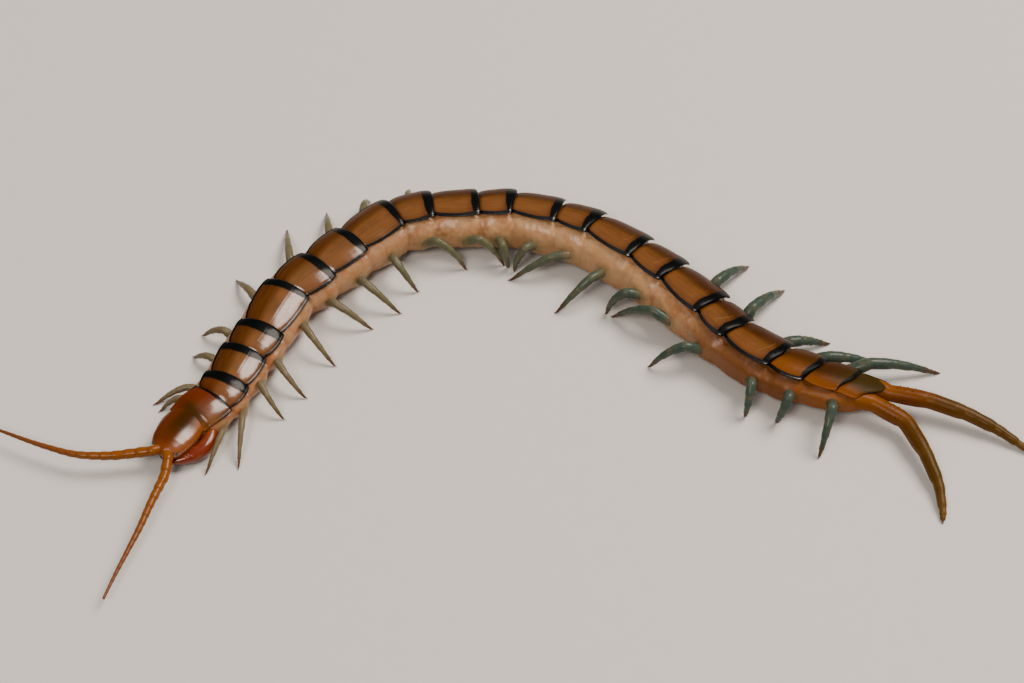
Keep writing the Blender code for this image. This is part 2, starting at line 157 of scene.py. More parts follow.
def finish(name, paint, coat=0.5, coat_rough=0.12, under=0.0, under_colour=(1, 0.5, 0.3),
           gloss=0.5, wax=1.5):
    """A surface from paint(wire), which returns its colour, roughness, relief in mm and, where
    the clear outer layer varies, that layer's weight in place of coat."""
    surface = bpy.data.materials.new(name)
    surface.use_nodes = True
    tree = surface.node_tree
    shader = tree.nodes["Principled BSDF"]
    wire = Wire(tree)
    colour, rough, relief, *glaze = paint(wire)
    coat = glaze[0] if glaze else coat
    tree.links.new(colour.socket, shader.inputs["Base Color"])
    if isinstance(rough, Wire):
        tree.links.new(rough.socket, shader.inputs["Roughness"])
    else:
        shader.inputs["Roughness"].default_value = rough
    if isinstance(coat, Wire):
        tree.links.new(coat.socket, shader.inputs["Coat Weight"])
    else:
        shader.inputs["Coat Weight"].default_value = coat
    if relief is not None:
        bump = wire.add("ShaderNodeBump", {}, {"Height": relief, "Strength": 1.0, "Distance": MM})
        tree.links.new(bump.socket, shader.inputs["Normal"])
    shader.inputs["Coat Roughness"].default_value = coat_rough
    shader.inputs["Coat IOR"].default_value = wax
    shader.inputs["Specular IOR Level"].default_value = gloss
    shader.inputs["Subsurface Weight"].default_value = under
    shader.inputs["Subsurface Radius"].default_value = under_colour
    shader.inputs["Subsurface Scale"].default_value = SOAK * MM
    return surface


def floor_paint(wire):
    speck = wire.grain(2.5)
    return wire.mix(speck, FLOOR_COLOUR, tuple(0.96 * c for c in FLOOR_COLOUR)), 0.75, speck * 0.01


bpy.ops.mesh.primitive_plane_add(size=FLOOR_SIZE)
floor = bpy.context.object
floor.name = "floor"
floor.data.materials.append(finish("pale_floor", floor_paint, coat=0.0, gloss=0.2))

for name, bearing, distance, edge, watts in SOFT_BOXES:
    lamp = bpy.data.lights.new(name, "AREA")
    lamp.shape = "SQUARE"
    lamp.size = edge
    lamp.energy = watts
    lamp.color = LAMP_COLOUR
    box = bpy.data.objects.new(name, lamp)
    aim = Vector(bearing).normalized()
    box.location = aim * distance
    box.rotation_euler = aim.to_track_quat("Z", "Y").to_euler()
    bpy.context.scene.collection.objects.link(box)

room = bpy.data.worlds.new("room")
room.use_nodes = True
bpy.context.scene.world = room
sky = Wire(room.node_tree)
up_axis = sky.add("ShaderNodeSeparateXYZ", {},
                  {0: sky.add("ShaderNodeTexCoord", {}, {}, out="Generated")}, out="Z")
shade = sky.mix(up_axis.rise(-0.1, 0.9), ROOM_SIDE, ROOM_TOP)
room.node_tree.links.new(shade.socket, room.node_tree.nodes["Background"].inputs["Color"])

# The soft skin of the flanks and belly. It is thin, folded hide stretched between the back
# plates and the belly plates, pinkish beige with orange patches, gathered at each joint of the
# trunk and swollen into a boss at each hip. One skin runs from the neck to the last legs.

# One row per segment, front to back: length, heading of the midline, half width of the plate.
SEGMENTS = (
    (4.1, 46.0, 3.05), (3.1, 60.0, 3.05), (5.1, 67.0, 3.10), (4.1, 63.0, 3.15),
    (7.4, 65.0, 3.30), (5.5, 46.5, 3.35), (6.0, 44.0, 3.40), (7.1, 39.0, 3.45),
    (5.0, 14.5, 3.50), (6.4, 1.0, 3.55), (4.7, 0.0, 3.55), (6.5, -16.0, 3.60),
    (5.0, -25.0, 3.60), (7.5, -38.0, 3.60), (5.7, -44.0, 3.55), (7.4, -49.0, 3.50),
    (5.0, -50.5, 3.40), (7.0, -38.0, 3.30), (4.7, -23.0, 3.15), (4.7, -19.0, 2.85),
    (3.7, -23.0, 2.40),
)
HALF_WIDTHS = [(i + 0.5, row[2]) for i, row in enumerate(SEGMENTS)]
START = (-40.85, -13.35)
HEAD_HEADING = 61.0
HEAD_LENGTH = 6.3
# How the trunk changes along its length, each row the segments behind the head and the value:
# its roll to the right and its turn off the midline in degrees, its depth, the half width of its
# flanks and of its belly, and how far the belly clears the floor. The plates' rim lies RIM of the
# depth over the centre; a rolled belly is levelled by LEVELLED; ARCH is half a plate's curve.
ROLL = ((0, -6), (5, -2), (7, 8), (9, 17), (12, 22), (14, 20), (17, 14), (21, 9))
SKEW = ((0, 0), (4, 0), (5, 5), (6, 2), (8, 0), (10, 7), (12, 8), (15, 8), (16, 3), (17, 4),
        (18, -2), (19, -12), (21, -10))
DEPTH = ((0, 2.9), (3, 3.3), (5, 3.8), (8, 4.5), (10, 4.9), (14, 5.0), (16, 4.8), (18, 4.3),
         (20, 3.25), (21, 2.15))
BULGE = ((0, 3.2), (3, 3.6), (5, 3.9), (8, 4.15), (12, 4.35), (16, 4.25), (18, 4.0), (19, 3.7),
         (20, 3.3), (21, 2.6))
KEEL = ((0, 2.45), (6, 2.6), (9, 3.0), (12, 3.4), (15, 3.3), (18, 2.7), (20, 2.3), (21, 1.8))
CLEARANCE = ((0, 0.55), (18, 0.55), (20, 0.80), (21, 1.20))
RIM = 0.34
ARCH = math.radians(33)
LEVELLED = 0.6


def ramp(table, at, column=1):
    """Straight-line value between the rows of a table, whose first column holds the places."""
    return np.interp(at, [row[0] for row in table], [row[column] for row in table])


def flat(heading):
    """Level direction with this heading."""
    return np.array((math.cos(math.radians(heading)), math.sin(math.radians(heading)), 0.0))


joints = [np.array((START[0], START[1], 0.0))]
for length, heading, half in SEGMENTS:
    joints.append(joints[-1] + flat(heading) * length)
joints.insert(0, joints[0] - flat(HEAD_HEADING) * HEAD_LENGTH)


def midline(at):
    """Point and direction of the midline, at segments behind the head."""
    k = min(max(int(math.floor(at)) + 1, 0), len(joints) - 2)
    u = at + 1 - k
    p0, p1 = joints[k], joints[k + 1]
    step = np.linalg.norm(p1 - p0)
    before = joints[k - 1] if k > 0 else p0 - (p1 - p0)
    after = joints[k + 2] if k + 2 < len(joints) else p1 + (p1 - p0)
    m0 = (p1 - before) * step / (step + np.linalg.norm(p0 - before))
    m1 = (after - p0) * step / (step + np.linalg.norm(after - p1))
    point = (p0 * (2 * u ** 3 - 3 * u ** 2 + 1) + m0 * (u ** 3 - 2 * u ** 2 + u)
             + p1 * (3 * u ** 2 - 2 * u ** 3) + m1 * (u ** 3 - u ** 2))
    tail = (p0 * (6 * u ** 2 - 6 * u) + m0 * (3 * u ** 2 - 4 * u + 1)
            + p1 * (6 * u - 6 * u ** 2) + m1 * (3 * u ** 2 - 2 * u))
    return point, tail / np.linalg.norm(tail)


# The midline is read once, finely, and looked up from then on.
PLACES = np.arange(-1.2, 21.4, 0.01)
traced = [midline(at) for at in PLACES]
turn = np.radians(ramp(SKEW, PLACES))
tilt = np.radians(ramp(ROLL, PLACES))
line_at = np.array([p for p, t in traced])
tail_at = np.array([(t[0] * math.cos(a) - t[1] * math.sin(a),
                     t[0] * math.sin(a) + t[1] * math.cos(a), 0)
                    for (p, t), a in zip(traced, turn)])
level_at = np.stack([tail_at[:, 1], -tail_at[:, 0], 0 * tilt], 1)
skyward = np.array((0.0, 0.0, 1.0))
left_at = level_at * np.cos(tilt)[:, None] + skyward * np.sin(tilt)[:, None]
up_at = skyward * np.cos(tilt)[:, None] - level_at * np.sin(tilt)[:, None]
line_at[:, 2] = ((1 - RIM) * ramp(DEPTH, PLACES) * np.cos(np.abs(tilt))
                 + ramp(KEEL, PLACES) * np.sin(np.abs(tilt)) * (1 - LEVELLED)
                 + ramp(CLEARANCE, PLACES))


def along(table, at):
    """Rows of a traced table at these places."""
    return np.stack([np.interp(at, PLACES, table[:, i]) for i in range(3)], -1)


def body_point(at, across, over):
    """Points of the trunk: across to the left of the centre and over it."""
    at, across, over = np.broadcast_arrays(at, across, over)
    depth = ramp(DEPTH, at)
    left = along(left_at, at)
    spot = along(line_at, at) + left * across[..., None] + along(up_at, at) * over[..., None]
    sunk = np.maximum(RIM * depth - over, 0) / depth
    spot[..., 2] -= LEVELLED * sunk * across * left[..., 2]
    return spot


def smooth(x, low, high):
    """0 below low, 1 above high, soft between."""
    t = np.clip((x - low) / (high - low), 0, 1)
    return t * t * (3 - 2 * t)


def hump(x, middle, width):
    """Soft bump of height 1."""
    return np.exp(-((x - middle) / width) ** 2)


def curve_through(points, count):
    """Smooth curve through points, count samples for each stretch, ends included."""
    points = np.asarray(points, float)
    ends = np.vstack([2 * points[0] - points[1], points, 2 * points[-1] - points[-2]])
    out = []
    for i in range(len(points) - 1):
        a, b, c, d = ends[i:i + 4]
        for t in np.arange(count) / count:
            out.append(0.5 * (2 * b + (c - a) * t + (2 * a - 5 * b + 4 * c - d) * t ** 2
                              + (3 * b - a - 3 * c + d) * t ** 3))
    out.append(points[-1])
    return np.array(out)


def shell(name, rows, marks, surface):
    """Closed mesh over rings of points, with marks written on it point by point."""
    rows = np.asarray(rows, float)
    count, ring = rows.shape[:2]
    points = (rows.reshape(-1, 3) - SHIFT) * MM
    i, j = np.meshgrid(np.arange(count - 1), np.arange(ring), indexing="ij")
    k = (j + 1) % ring
    faces = np.stack([i * ring + j, (i + 1) * ring + j, (i + 1) * ring + k, i * ring + k], -1)
    faces = faces.reshape(-1, 4).tolist()
    faces += [list(range(ring)), list(range((count - 1) * ring, count * ring))[::-1]]
    mesh = bpy.data.meshes.new(name)
    mesh.from_pydata(points.tolist(), [], faces)
    for mark, values in marks.items():
        layer = mesh.attributes.new(mark, "FLOAT", "POINT")
        layer.data.foreach_set("value", np.broadcast_to(values, (count, ring)).astype("f").ravel())
    mesh.materials.append(surface)
    mesh.shade_smooth()
    piece = bpy.data.objects.new(name, mesh)
    bpy.context.scene.collection.objects.link(piece)
    return piece


def outward(rows, middle):
    """Unit directions that point out of a tube's rings, away from its middle."""
    around = np.roll(rows, -1, 1) - np.roll(rows, 1, 1)
    ahead = np.gradient(rows, axis=0)
    normal = np.cross(around, ahead)
    normal /= np.linalg.norm(normal, axis=-1, keepdims=True) + 1e-12
    facing = (normal * (rows - middle)).sum(-1, keepdims=True)
    return normal * np.where(facing.mean() < 0, -1.0, 1.0)


def ripples(points, size, seed):
    """Random relief between about -1 and 1 at each point, its folds size millimetres apart."""
    shape = points.shape[:-1]
    spots = points.reshape(-1, 3) / size + seed
    return np.array([noise.fractal(Vector(p), 0.9, 2.0, 3) for p in spots]).reshape(shape)


# Where the skin swells to carry walking legs 1 to 20. Each row: place of the hip along its
# segment, foot measured from the hip (toward the tail, outward), lean of the knee in degrees, leg
# length over hip to foot. HIP_DROP is how far under the centre a hip lies, in depths.
LEFT_LEGS = (
    (0.75, -5.8, 2.9, 42, 1.20), (0.56, -7.4, 3.5, 42, 1.10), (0.56, -3.2, 4.2, 42, 1.40),
    (0.56, -2.6, 5.3, 42, 1.35), (0.60, -3.7, 5.7, 36, 1.30), (0.65, 1.7, 6.1, 28, 1.30),
    (0.56, 1.0, 6.5, 30, 1.25), (0.48, -0.1, 5.0, 38, 1.40), (0.68, 4.9, 2.9, 2, 1.28),
    (0.70, 4.9, 1.7, 2, 1.28), (0.45, 0.8, 1.9, 20, 1.50), (0.56, -2.2, 1.8, 10, 1.35),
    (0.53, -7.0, 3.4, 5, 1.04), (0.58, -3.2, 6.4, 20, 1.10), (0.62, -3.3, 2.4, 0, 1.25),
    (0.56, -7.7, 2.2, 0, 1.12), (0.60, -4.1, 4.8, 5, 1.20), (0.75, 1.3, 2.9, 30, 1.50),
    (0.62, -0.4, 2.2, 35, 1.70), (0.80, 1.5, 6.1, 25, 1.30),
)
RIGHT_LEGS = (
    (0.56, -3.0, 1.8, 60, 1.10), (0.56, -3.9, 4.2, 60, 1.05), (0.80, 0.4, 3.5, 50, 1.10),
    (0.75, -0.6, 4.2, 50, 1.18), (0.83, 3.0, 4.6, 10, 1.05), (0.78, 5.1, 6.6, 10, 1.05),
    (0.92, 3.8, 5.5, 10, 1.08), (0.70, 3.4, 3.8, 20, 1.35), (0.56, 1.0, 4.6, 50, 1.15),
    (0.56, -3.0, 3.0, 60, 1.15), (0.56, -4.4, 2.6, 60, 1.15), (0.56, -5.4, 2.2, 60, 1.12),
    (0.56, -5.2, 2.2, 60, 1.12), (0.56, -5.6, 2.2, 60, 1.10), (0.56, -4.8, 2.2, 60, 1.08),
    (0.50, -0.1, 8.6, 15, 1.14), (0.50, -1.2, 9.2, 15, 1.14), (0.60, 4.6, 5.7, 10, 1.06),
    (0.56, 7.8, 5.2, 10, 1.04), (0.56, 10.2, 7.1, 10, 1.05),
)
HIP_DROP = {1: ((1, 0.33), (13, 0.30), (15, 0.24), (17, 0.27), (19, 0.14), (20, 0.09)),
            -1: ((1, 0.36), (8, 0.42), (13, 0.46), (17, 0.42), (20, 0.25))}
HIP_PROUD = 0.23


def leg_row(pair, side):
    """The row of measures of one walking leg."""
    return (LEFT_LEGS if side > 0 else RIGHT_LEGS)[pair - 1]


def hip(pair, side):
    """Centre of the end of a hip boss, its level way out and the way to the tail."""
    at = pair - 1 + leg_row(pair, side)[0]
    drop = ramp(HIP_DROP[side], pair) * ramp(DEPTH, at)
    centre = body_point(at, side * (ramp(BULGE, at) + HIP_PROUD), -drop)
    level = along(left_at, at) * side
    level[2] = 0
    return centre, level / np.linalg.norm(level), along(tail_at, at)


HIPS = {(pair, side): hip(pair, side) for pair in range(1, 21) for side in (1, -1)}

SKIN_STEP = 0.2
SKIN_AROUND = 5
NECK_AT = -0.12
CLOSING_FROM = 20.1
CLOSING_RUN = 0.76
SKIN_END = 20.86
FOLD_DEPTH = 0.15
FOLD_WIDTH = 0.60
SWELL = 0.07
CREASE = 0.06
PUCKER = 0.018
BOSS = 0.34
BOSS_WIDTH = 1.15
SKIN_BEIGE = (0.39, 0.198, 0.085)
SKIN_PALE = (0.58, 0.34, 0.165)
SKIN_ORANGE = (0.27, 0.070, 0.010)
SKIN_GREEN = (0.17, 0.14, 0.06)
SKIN_AMBER = (0.185, 0.056, 0.002)
SKIN_BROWN = (0.25, 0.130, 0.062)
SKIN_OLIVE = (0.29, 0.165, 0.060)
SKIN_REAR_SHADE = (0.10, 0.036, 0.008)
SKIN_FOLD_SHADE = (0.20, 0.085, 0.04)


def skin_outline(at):
    """Half of the skin's outline across the trunk, back to belly: across and over."""
    depth, bulge, keel = ramp(DEPTH, at), ramp(BULGE, at), ramp(KEEL, at)
    half = ramp(HALF_WIDTHS, at)
    rim, belly = RIM * depth, (RIM - 1) * depth
    crown = half * (1 - math.cos(ARCH)) / math.sin(ARCH)
    full = smooth(at, 19.2, 20.2)
    low = 0.32 * hump(at - round(at), 0, 0.20) * (1 - full)
    return ((0, rim + crown - 0.36 - low), (0.5 * half, rim + 0.72 * crown - 0.36 - low),
            (0.84 * half, rim - 0.20 - low + 0.10 * full),
            (half - 0.14 + 0.06 * full, rim - 0.48 - 0.5 * low + 0.34 * full),
            (bulge - 0.04, 0.02 * depth), (bulge + 0.06, -0.22 * depth), (bulge - 0.24, -0.48 * depth),
            (keel + 0.14, belly + 0.30), (keel - 0.35, belly + 0.02), (0.5 * keel, belly + 0.02),
            (0, belly + 0.02))


lengths = np.array([row[0] for row in SEGMENTS])
ends = np.concatenate([[0], np.cumsum(lengths)])
places = np.interp(np.arange(0, sum(lengths), SKIN_STEP), ends, np.arange(22))
places = np.concatenate([[NECK_AT, NECK_AT / 2], places[places < SKIN_END], [SKIN_END]])
half_rings = np.array([curve_through(skin_outline(at), SKIN_AROUND) for at in places])
over = np.concatenate([half_rings[:, :, 1], half_rings[:, -2:0:-1, 1]], 1)
across = np.concatenate([half_rings[:, :, 0], -half_rings[:, -2:0:-1, 0]], 1)
grid = places[:, None] + 0 * over
to_fold = np.abs(grid - np.round(grid)) * lengths[np.clip(np.floor(grid), 0, 20).astype(int)]
depth = ramp(DEPTH, grid)
rise = (over - (RIM - 1) * depth) / depth
flank = smooth(rise, 0.02, 0.16) * (1 - smooth(rise, 0.88, 1.02))
rows = body_point(grid, across, over)
to_hip = np.full(rows.shape[:2], 9.0)
for centre, level, tail in HIPS.values():
    to_hip = np.minimum(to_hip, np.linalg.norm(rows - centre, axis=-1))
middle = along(line_at, grid)
out = outward(rows, middle)
calm = 1 - 0.85 * smooth(grid, 18.6, 19.6)
relief = -FOLD_DEPTH * hump(to_fold, 0, FOLD_WIDTH) * flank * calm
relief += BOSS * hump(to_hip, 0, BOSS_WIDTH) * flank
relief += SWELL * np.cos(grid * 2 * math.pi) * -flank * calm
folds = ripples(rows, 1.5, 3.0)
relief += CREASE * flank * calm * (0.5 - np.abs(folds) * 2.0).clip(-0.4, 0.5)
relief += PUCKER * flank * ripples(rows, 0.5, 8.0)
closing = np.sqrt(1 - np.clip((grid - CLOSING_FROM) / CLOSING_RUN, 0, 1) ** 2)
drawn_in = 1 - 0.70 * (1 - closing) - 0.25 * smooth(grid, 0.0, NECK_AT)
rows = middle + (rows + out * relief[..., None] - middle) * drawn_in[..., None]


def skin_paint(wire):
    order, rise, to_hip = wire.mark("order"), wire.mark("rise"), wire.mark("to_hip")
    cloud, fleck = wire.grain(2.6), wire.grain(0.55, 4.0)
    pale = fleck.rise(0.38, 0.68) * 0.38 + cloud.rise(0.4, 0.7) * 0.35
    colour = wire.mix(pale, SKIN_BEIGE, SKIN_PALE)
    patches = wire.grain(1.7, 2.0).rise(0.50, 0.66) * 0.5
    low = rise.rise(0.42, 0.12) * (0.85 - 0.40 * order.rise(6.0, 9.0))
    late = order.rise(15.4, 18.6)
    early = order.rise(5.5, 1.0) * 0.35
    colour = wire.mix(order.rise(9.5, 7.5) * 0.5, colour, SKIN_BROWN)
    bend = order.rise(10.0, 12.0) * order.rise(16.0, 14.0) * 0.55
    colour = wire.mix(bend * (0.4 + 0.6 * cloud), colour, SKIN_PALE)
    colour = wire.mix(patches * (1 - bend) + low + late * 0.5 + early, colour, SKIN_ORANGE)
    glassy = rise.rise(0.62, 0.25) * order.rise(5.0, 8.0) * order.rise(18.0, 15.0)
    colour = wire.mix(glassy * (0.35 + 0.5 * cloud), colour, SKIN_OLIVE)
    colour = wire.mix(to_hip.rise(1.75, 0.6) * late.rise(1.0, 0.0) * 0.72, colour, SKIN_GREEN)
    colour = wire.mix(order.rise(15.2, 18.0) * (0.90 + 0.10 * cloud), colour, SKIN_AMBER)
    # painted shade darkening the flank from segment 16 to 19
    rear_flank_shade = order.rise(15.6, 17.0) * order.rise(19.4, 18.4) * (0.35 + 0.3 * cloud)
    colour = wire.mix(rear_flank_shade, colour, SKIN_REAR_SHADE)
    # painted shade in the folds at each joint of the trunk
    fold_shade = wire.mark("to_fold").rise(0.55, 0.0) * 0.16
    colour = wire.mix(fold_shade, colour, SKIN_FOLD_SHADE)
    rough = 0.30 + fleck * 0.2
    relief = wire.grain(0.35, 4.0) * 0.045 + wire.grain(0.9, 2.0) * 0.05
    return colour, rough + 0.1 * late, relief, 0.30 - 0.25 * late


skin = shell("soft_skin", rows, {"order": grid, "rise": rise, "to_hip": to_hip, "to_fold": to_fold},
             finish("skin", skin_paint, coat_rough=0.18, under=0.15,
                    under_colour=(1.0, 0.45, 0.25), gloss=0.2))
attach(skin, "root")
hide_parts(*["trunk_%d" % n for n in range(1, 8)])

# The back plates: 21 arched shields of hard, glassy amber cuticle, short and long by turns.
# Each laps over the front of the next, has two fine seams along its back, a thin raised edge
# and a blue-black band behind. They sit on the soft skin, free only at the hind edge.
PLATE_THICK = 0.15
LAP = 0.34
LAST_LAP = 0.2
TUCK = 0.24
# places across a plate run from -1 at its right edge to 1 at its left one
SEAM_AT = 0.30
SEAM_DEPTH = 0.007
PLATE_ROWS = 46
# how the last plate widens to the left and draws in on the right toward its tip
LAST_FULLER = 0.16
LAST_DRIFT = 0.45
# from the front to the back of a plate: share of its length, share of its half width
PLATE_OUTLINE = ((0, 0.60), (0.04, 0.69), (0.10, 0.785), (0.18, 0.87), (0.28, 0.94), (0.42, 0.995),
                 (0.6, 1.03), (0.78, 1.045), (0.9, 1.03), (0.97, 0.995), (1.0, 0.95))
FIRST_OUTLINE = ((0, 0.93), (0.15, 0.96), (0.4, 0.995), (0.7, 1.01), (0.95, 1.0), (1.0, 0.98))
LAST_OUTLINE = ((0, 0.97), (0.1, 1.0), (0.4, 1.02), (0.7, 1.02), (0.85, 1.0), (0.94, 0.95),
                (0.98, 0.90), (1.0, 0.84))
# by plate number: how far the hind edge stands off where that isn't the usual 0.20 or 0.06 of the
# last three, and the height of the crown with how much of it is lost toward the sides
FLARE = {2: 0.10, 4: 0.10, 6: 0.0, 7: 0.04}
VAULT = {1: (0.13, 0.4), 6: (0.22, 0.4), 7: (0.24, 0.4)}
USUAL_VAULT = (0.10, 1.0)
# by plate number: height of the raised edge, and how far the left edge is drawn forward
BEAD = ((1, 0.045), (8, 0.045), (9, 0.024), (19, 0.024))
SWEEP = ((8, 0.0), (11, 0.4), (16, 0.5), (17, 0.8), (20, 1.15), (21, 2.0))
AMBER = (0.146, 0.049, 0.007)
AMBER_DEEP = (0.043, 0.013, 0.002)
AMBER_GOLD = (0.180, 0.071, 0.015)
PLATE_DUSK = (0.072, 0.033, 0.006)
PLATE_RED = (0.115, 0.017, 0.001)
PLATE_ORANGE = (0.165, 0.046, 0.002)
PLATE_BROWN = (0.030, 0.011, 0.001)
BAND_BLACK = (0.0015, 0.0022, 0.0022)
OLIVE = (0.034, 0.020, 0.002)
ARC_REFLECTION_GOLD = (0.42, 0.24, 0.09)


def joined(name, pieces):
    """Several pieces as one object."""
    with bpy.context.temp_override(active_object=pieces[0], selected_editable_objects=pieces,
                                   selected_objects=pieces):
        bpy.ops.object.join()
    pieces[0].name = name
    pieces[0].data.name = name
    return pieces[0]


def plate_width(number, u):
    """How wide a plate is at u along it: round front corners, fullest past the middle."""
    return ramp({1: FIRST_OUTLINE, 21: LAST_OUTLINE}.get(number, PLATE_OUTLINE), u)


def plate_lift(number, u):
    """How far a plate stands off the back: tucked in front, flared behind."""
    way = u * SEGMENTS[number - 1][0]
    if number == 1:
        return -0.32 * (1 - smooth(way, 0.4, 1.5))
    flare = FLARE.get(number, 0.20 if number < 19 else 0.06)
    return -TUCK * (1 - smooth(way, 0.0, 1.0)) + flare * smooth(u, 0.45, 0.97) ** 1.5


def swept(number, q, u, length):
    """How far the left edge of a plate is drawn forward, in segments."""
    before, here = ramp(SWEEP, number - 1), ramp(SWEEP, number)
    return (before * (1 - u) + here * u) * smooth(q, -0.2, 1.0) / length


def back_plate(number, surface):
    """One plate as a closed shield."""
    k = number - 1
    last = number == 21
    length = SEGMENTS[k][0]
    lap = LAST_LAP if last else LAP
    fore, hind = -0.05, 1 + lap / length
    drift = LAST_DRIFT if last else 0.0

    def lay(q, u, bow, inside):
        """Places along, across and over the trunk of a grid on the plate, and its half width."""
        at = k + fore + (hind + bow / length - fore) * u - swept(number, q, u, length)
        half = SEGMENTS[k][2] * (1 + LAST_FULLER * smooth(q, 0, 1)) if last else ramp(HALF_WIDTHS, at)
        half = half * plate_width(number, u) - inside
        across = half * np.sin(q * ARCH) / math.sin(ARCH) - drift * u * smooth(-q, -0.6, 1)
        rise = half * (np.cos(q * ARCH) - math.cos(ARCH)) / math.sin(ARCH)
        return at, across, RIM * ramp(DEPTH, at) + rise, half

    rim_steps = np.array((0.004, 0.012, 0.022, 0.034, 0.05, 0.07, 0.095, 0.13))
    seam_steps = np.array((-0.05, -0.03, -0.018, -0.008, 0.0, 0.008, 0.018, 0.03, 0.05))
    half_q = np.concatenate([np.linspace(0, 0.87, 16), SEAM_AT + seam_steps, 1 - rim_steps, [1.0]])
    half_q = np.unique(np.round(half_q, 4))
    steps = np.linspace(0, 1, PLATE_ROWS)
    steps = np.unique(np.concatenate([steps, [0.006, 0.014, 0.986, 0.994]]))
    q, u = np.meshgrid(np.concatenate([-half_q[:0:-1], half_q]), steps)
    bow = 0.12 * (1 - q ** 2) if last else 0.10 * (1 - q ** 2) - 0.05
    at, across, over, half = lay(q, u, bow, 0.0)
    inset = (1 - np.abs(q)) * half * 1.05
    vault, spread = VAULT.get(number, USUAL_VAULT)
    lift = plate_lift(number, u) + vault * np.sin(math.pi * u) * (1 - spread * q ** 2)
    bead = ramp(BEAD, number)
    lift += bead * hump(inset, 0.10, 0.09) - 0.9 * bead * hump(inset, 0.33, 0.12)
    seams = 1.0 if 2 < number < 21 else 0.35
    lift -= SEAM_DEPTH * seams * hump(np.abs(q), SEAM_AT, 0.016) * smooth(u, 0.03, 0.1)
    lift -= 0.05 * smooth(u, 0.975, 1.0)
    top = body_point(at, across, over + lift)
    q_under = np.linspace(0.985, -0.985, 25)
    q_low, u_low = np.meshgrid(q_under, steps)
    at, across, over, half_low = lay(q_low, u_low, 0.0, 0.03)
    under = body_point(at, across, over + plate_lift(number, u_low) - PLATE_THICK)

    def both(above, beneath):
        return np.concatenate([above, beneath], 1)

    marks = {
        "order": np.float64(number), "side": both(q, q_low),
        "hind": both((1 - u) * (length + lap), (1 - u_low) * (length + lap)),
        "fore": both(u * (length + lap), u_low * (length + lap)),
        "inset": both(inset, (1 - np.abs(q_low)) * half_low),
    }
    return shell("back_plate_%02d" % number, both(top, under), marks, surface)


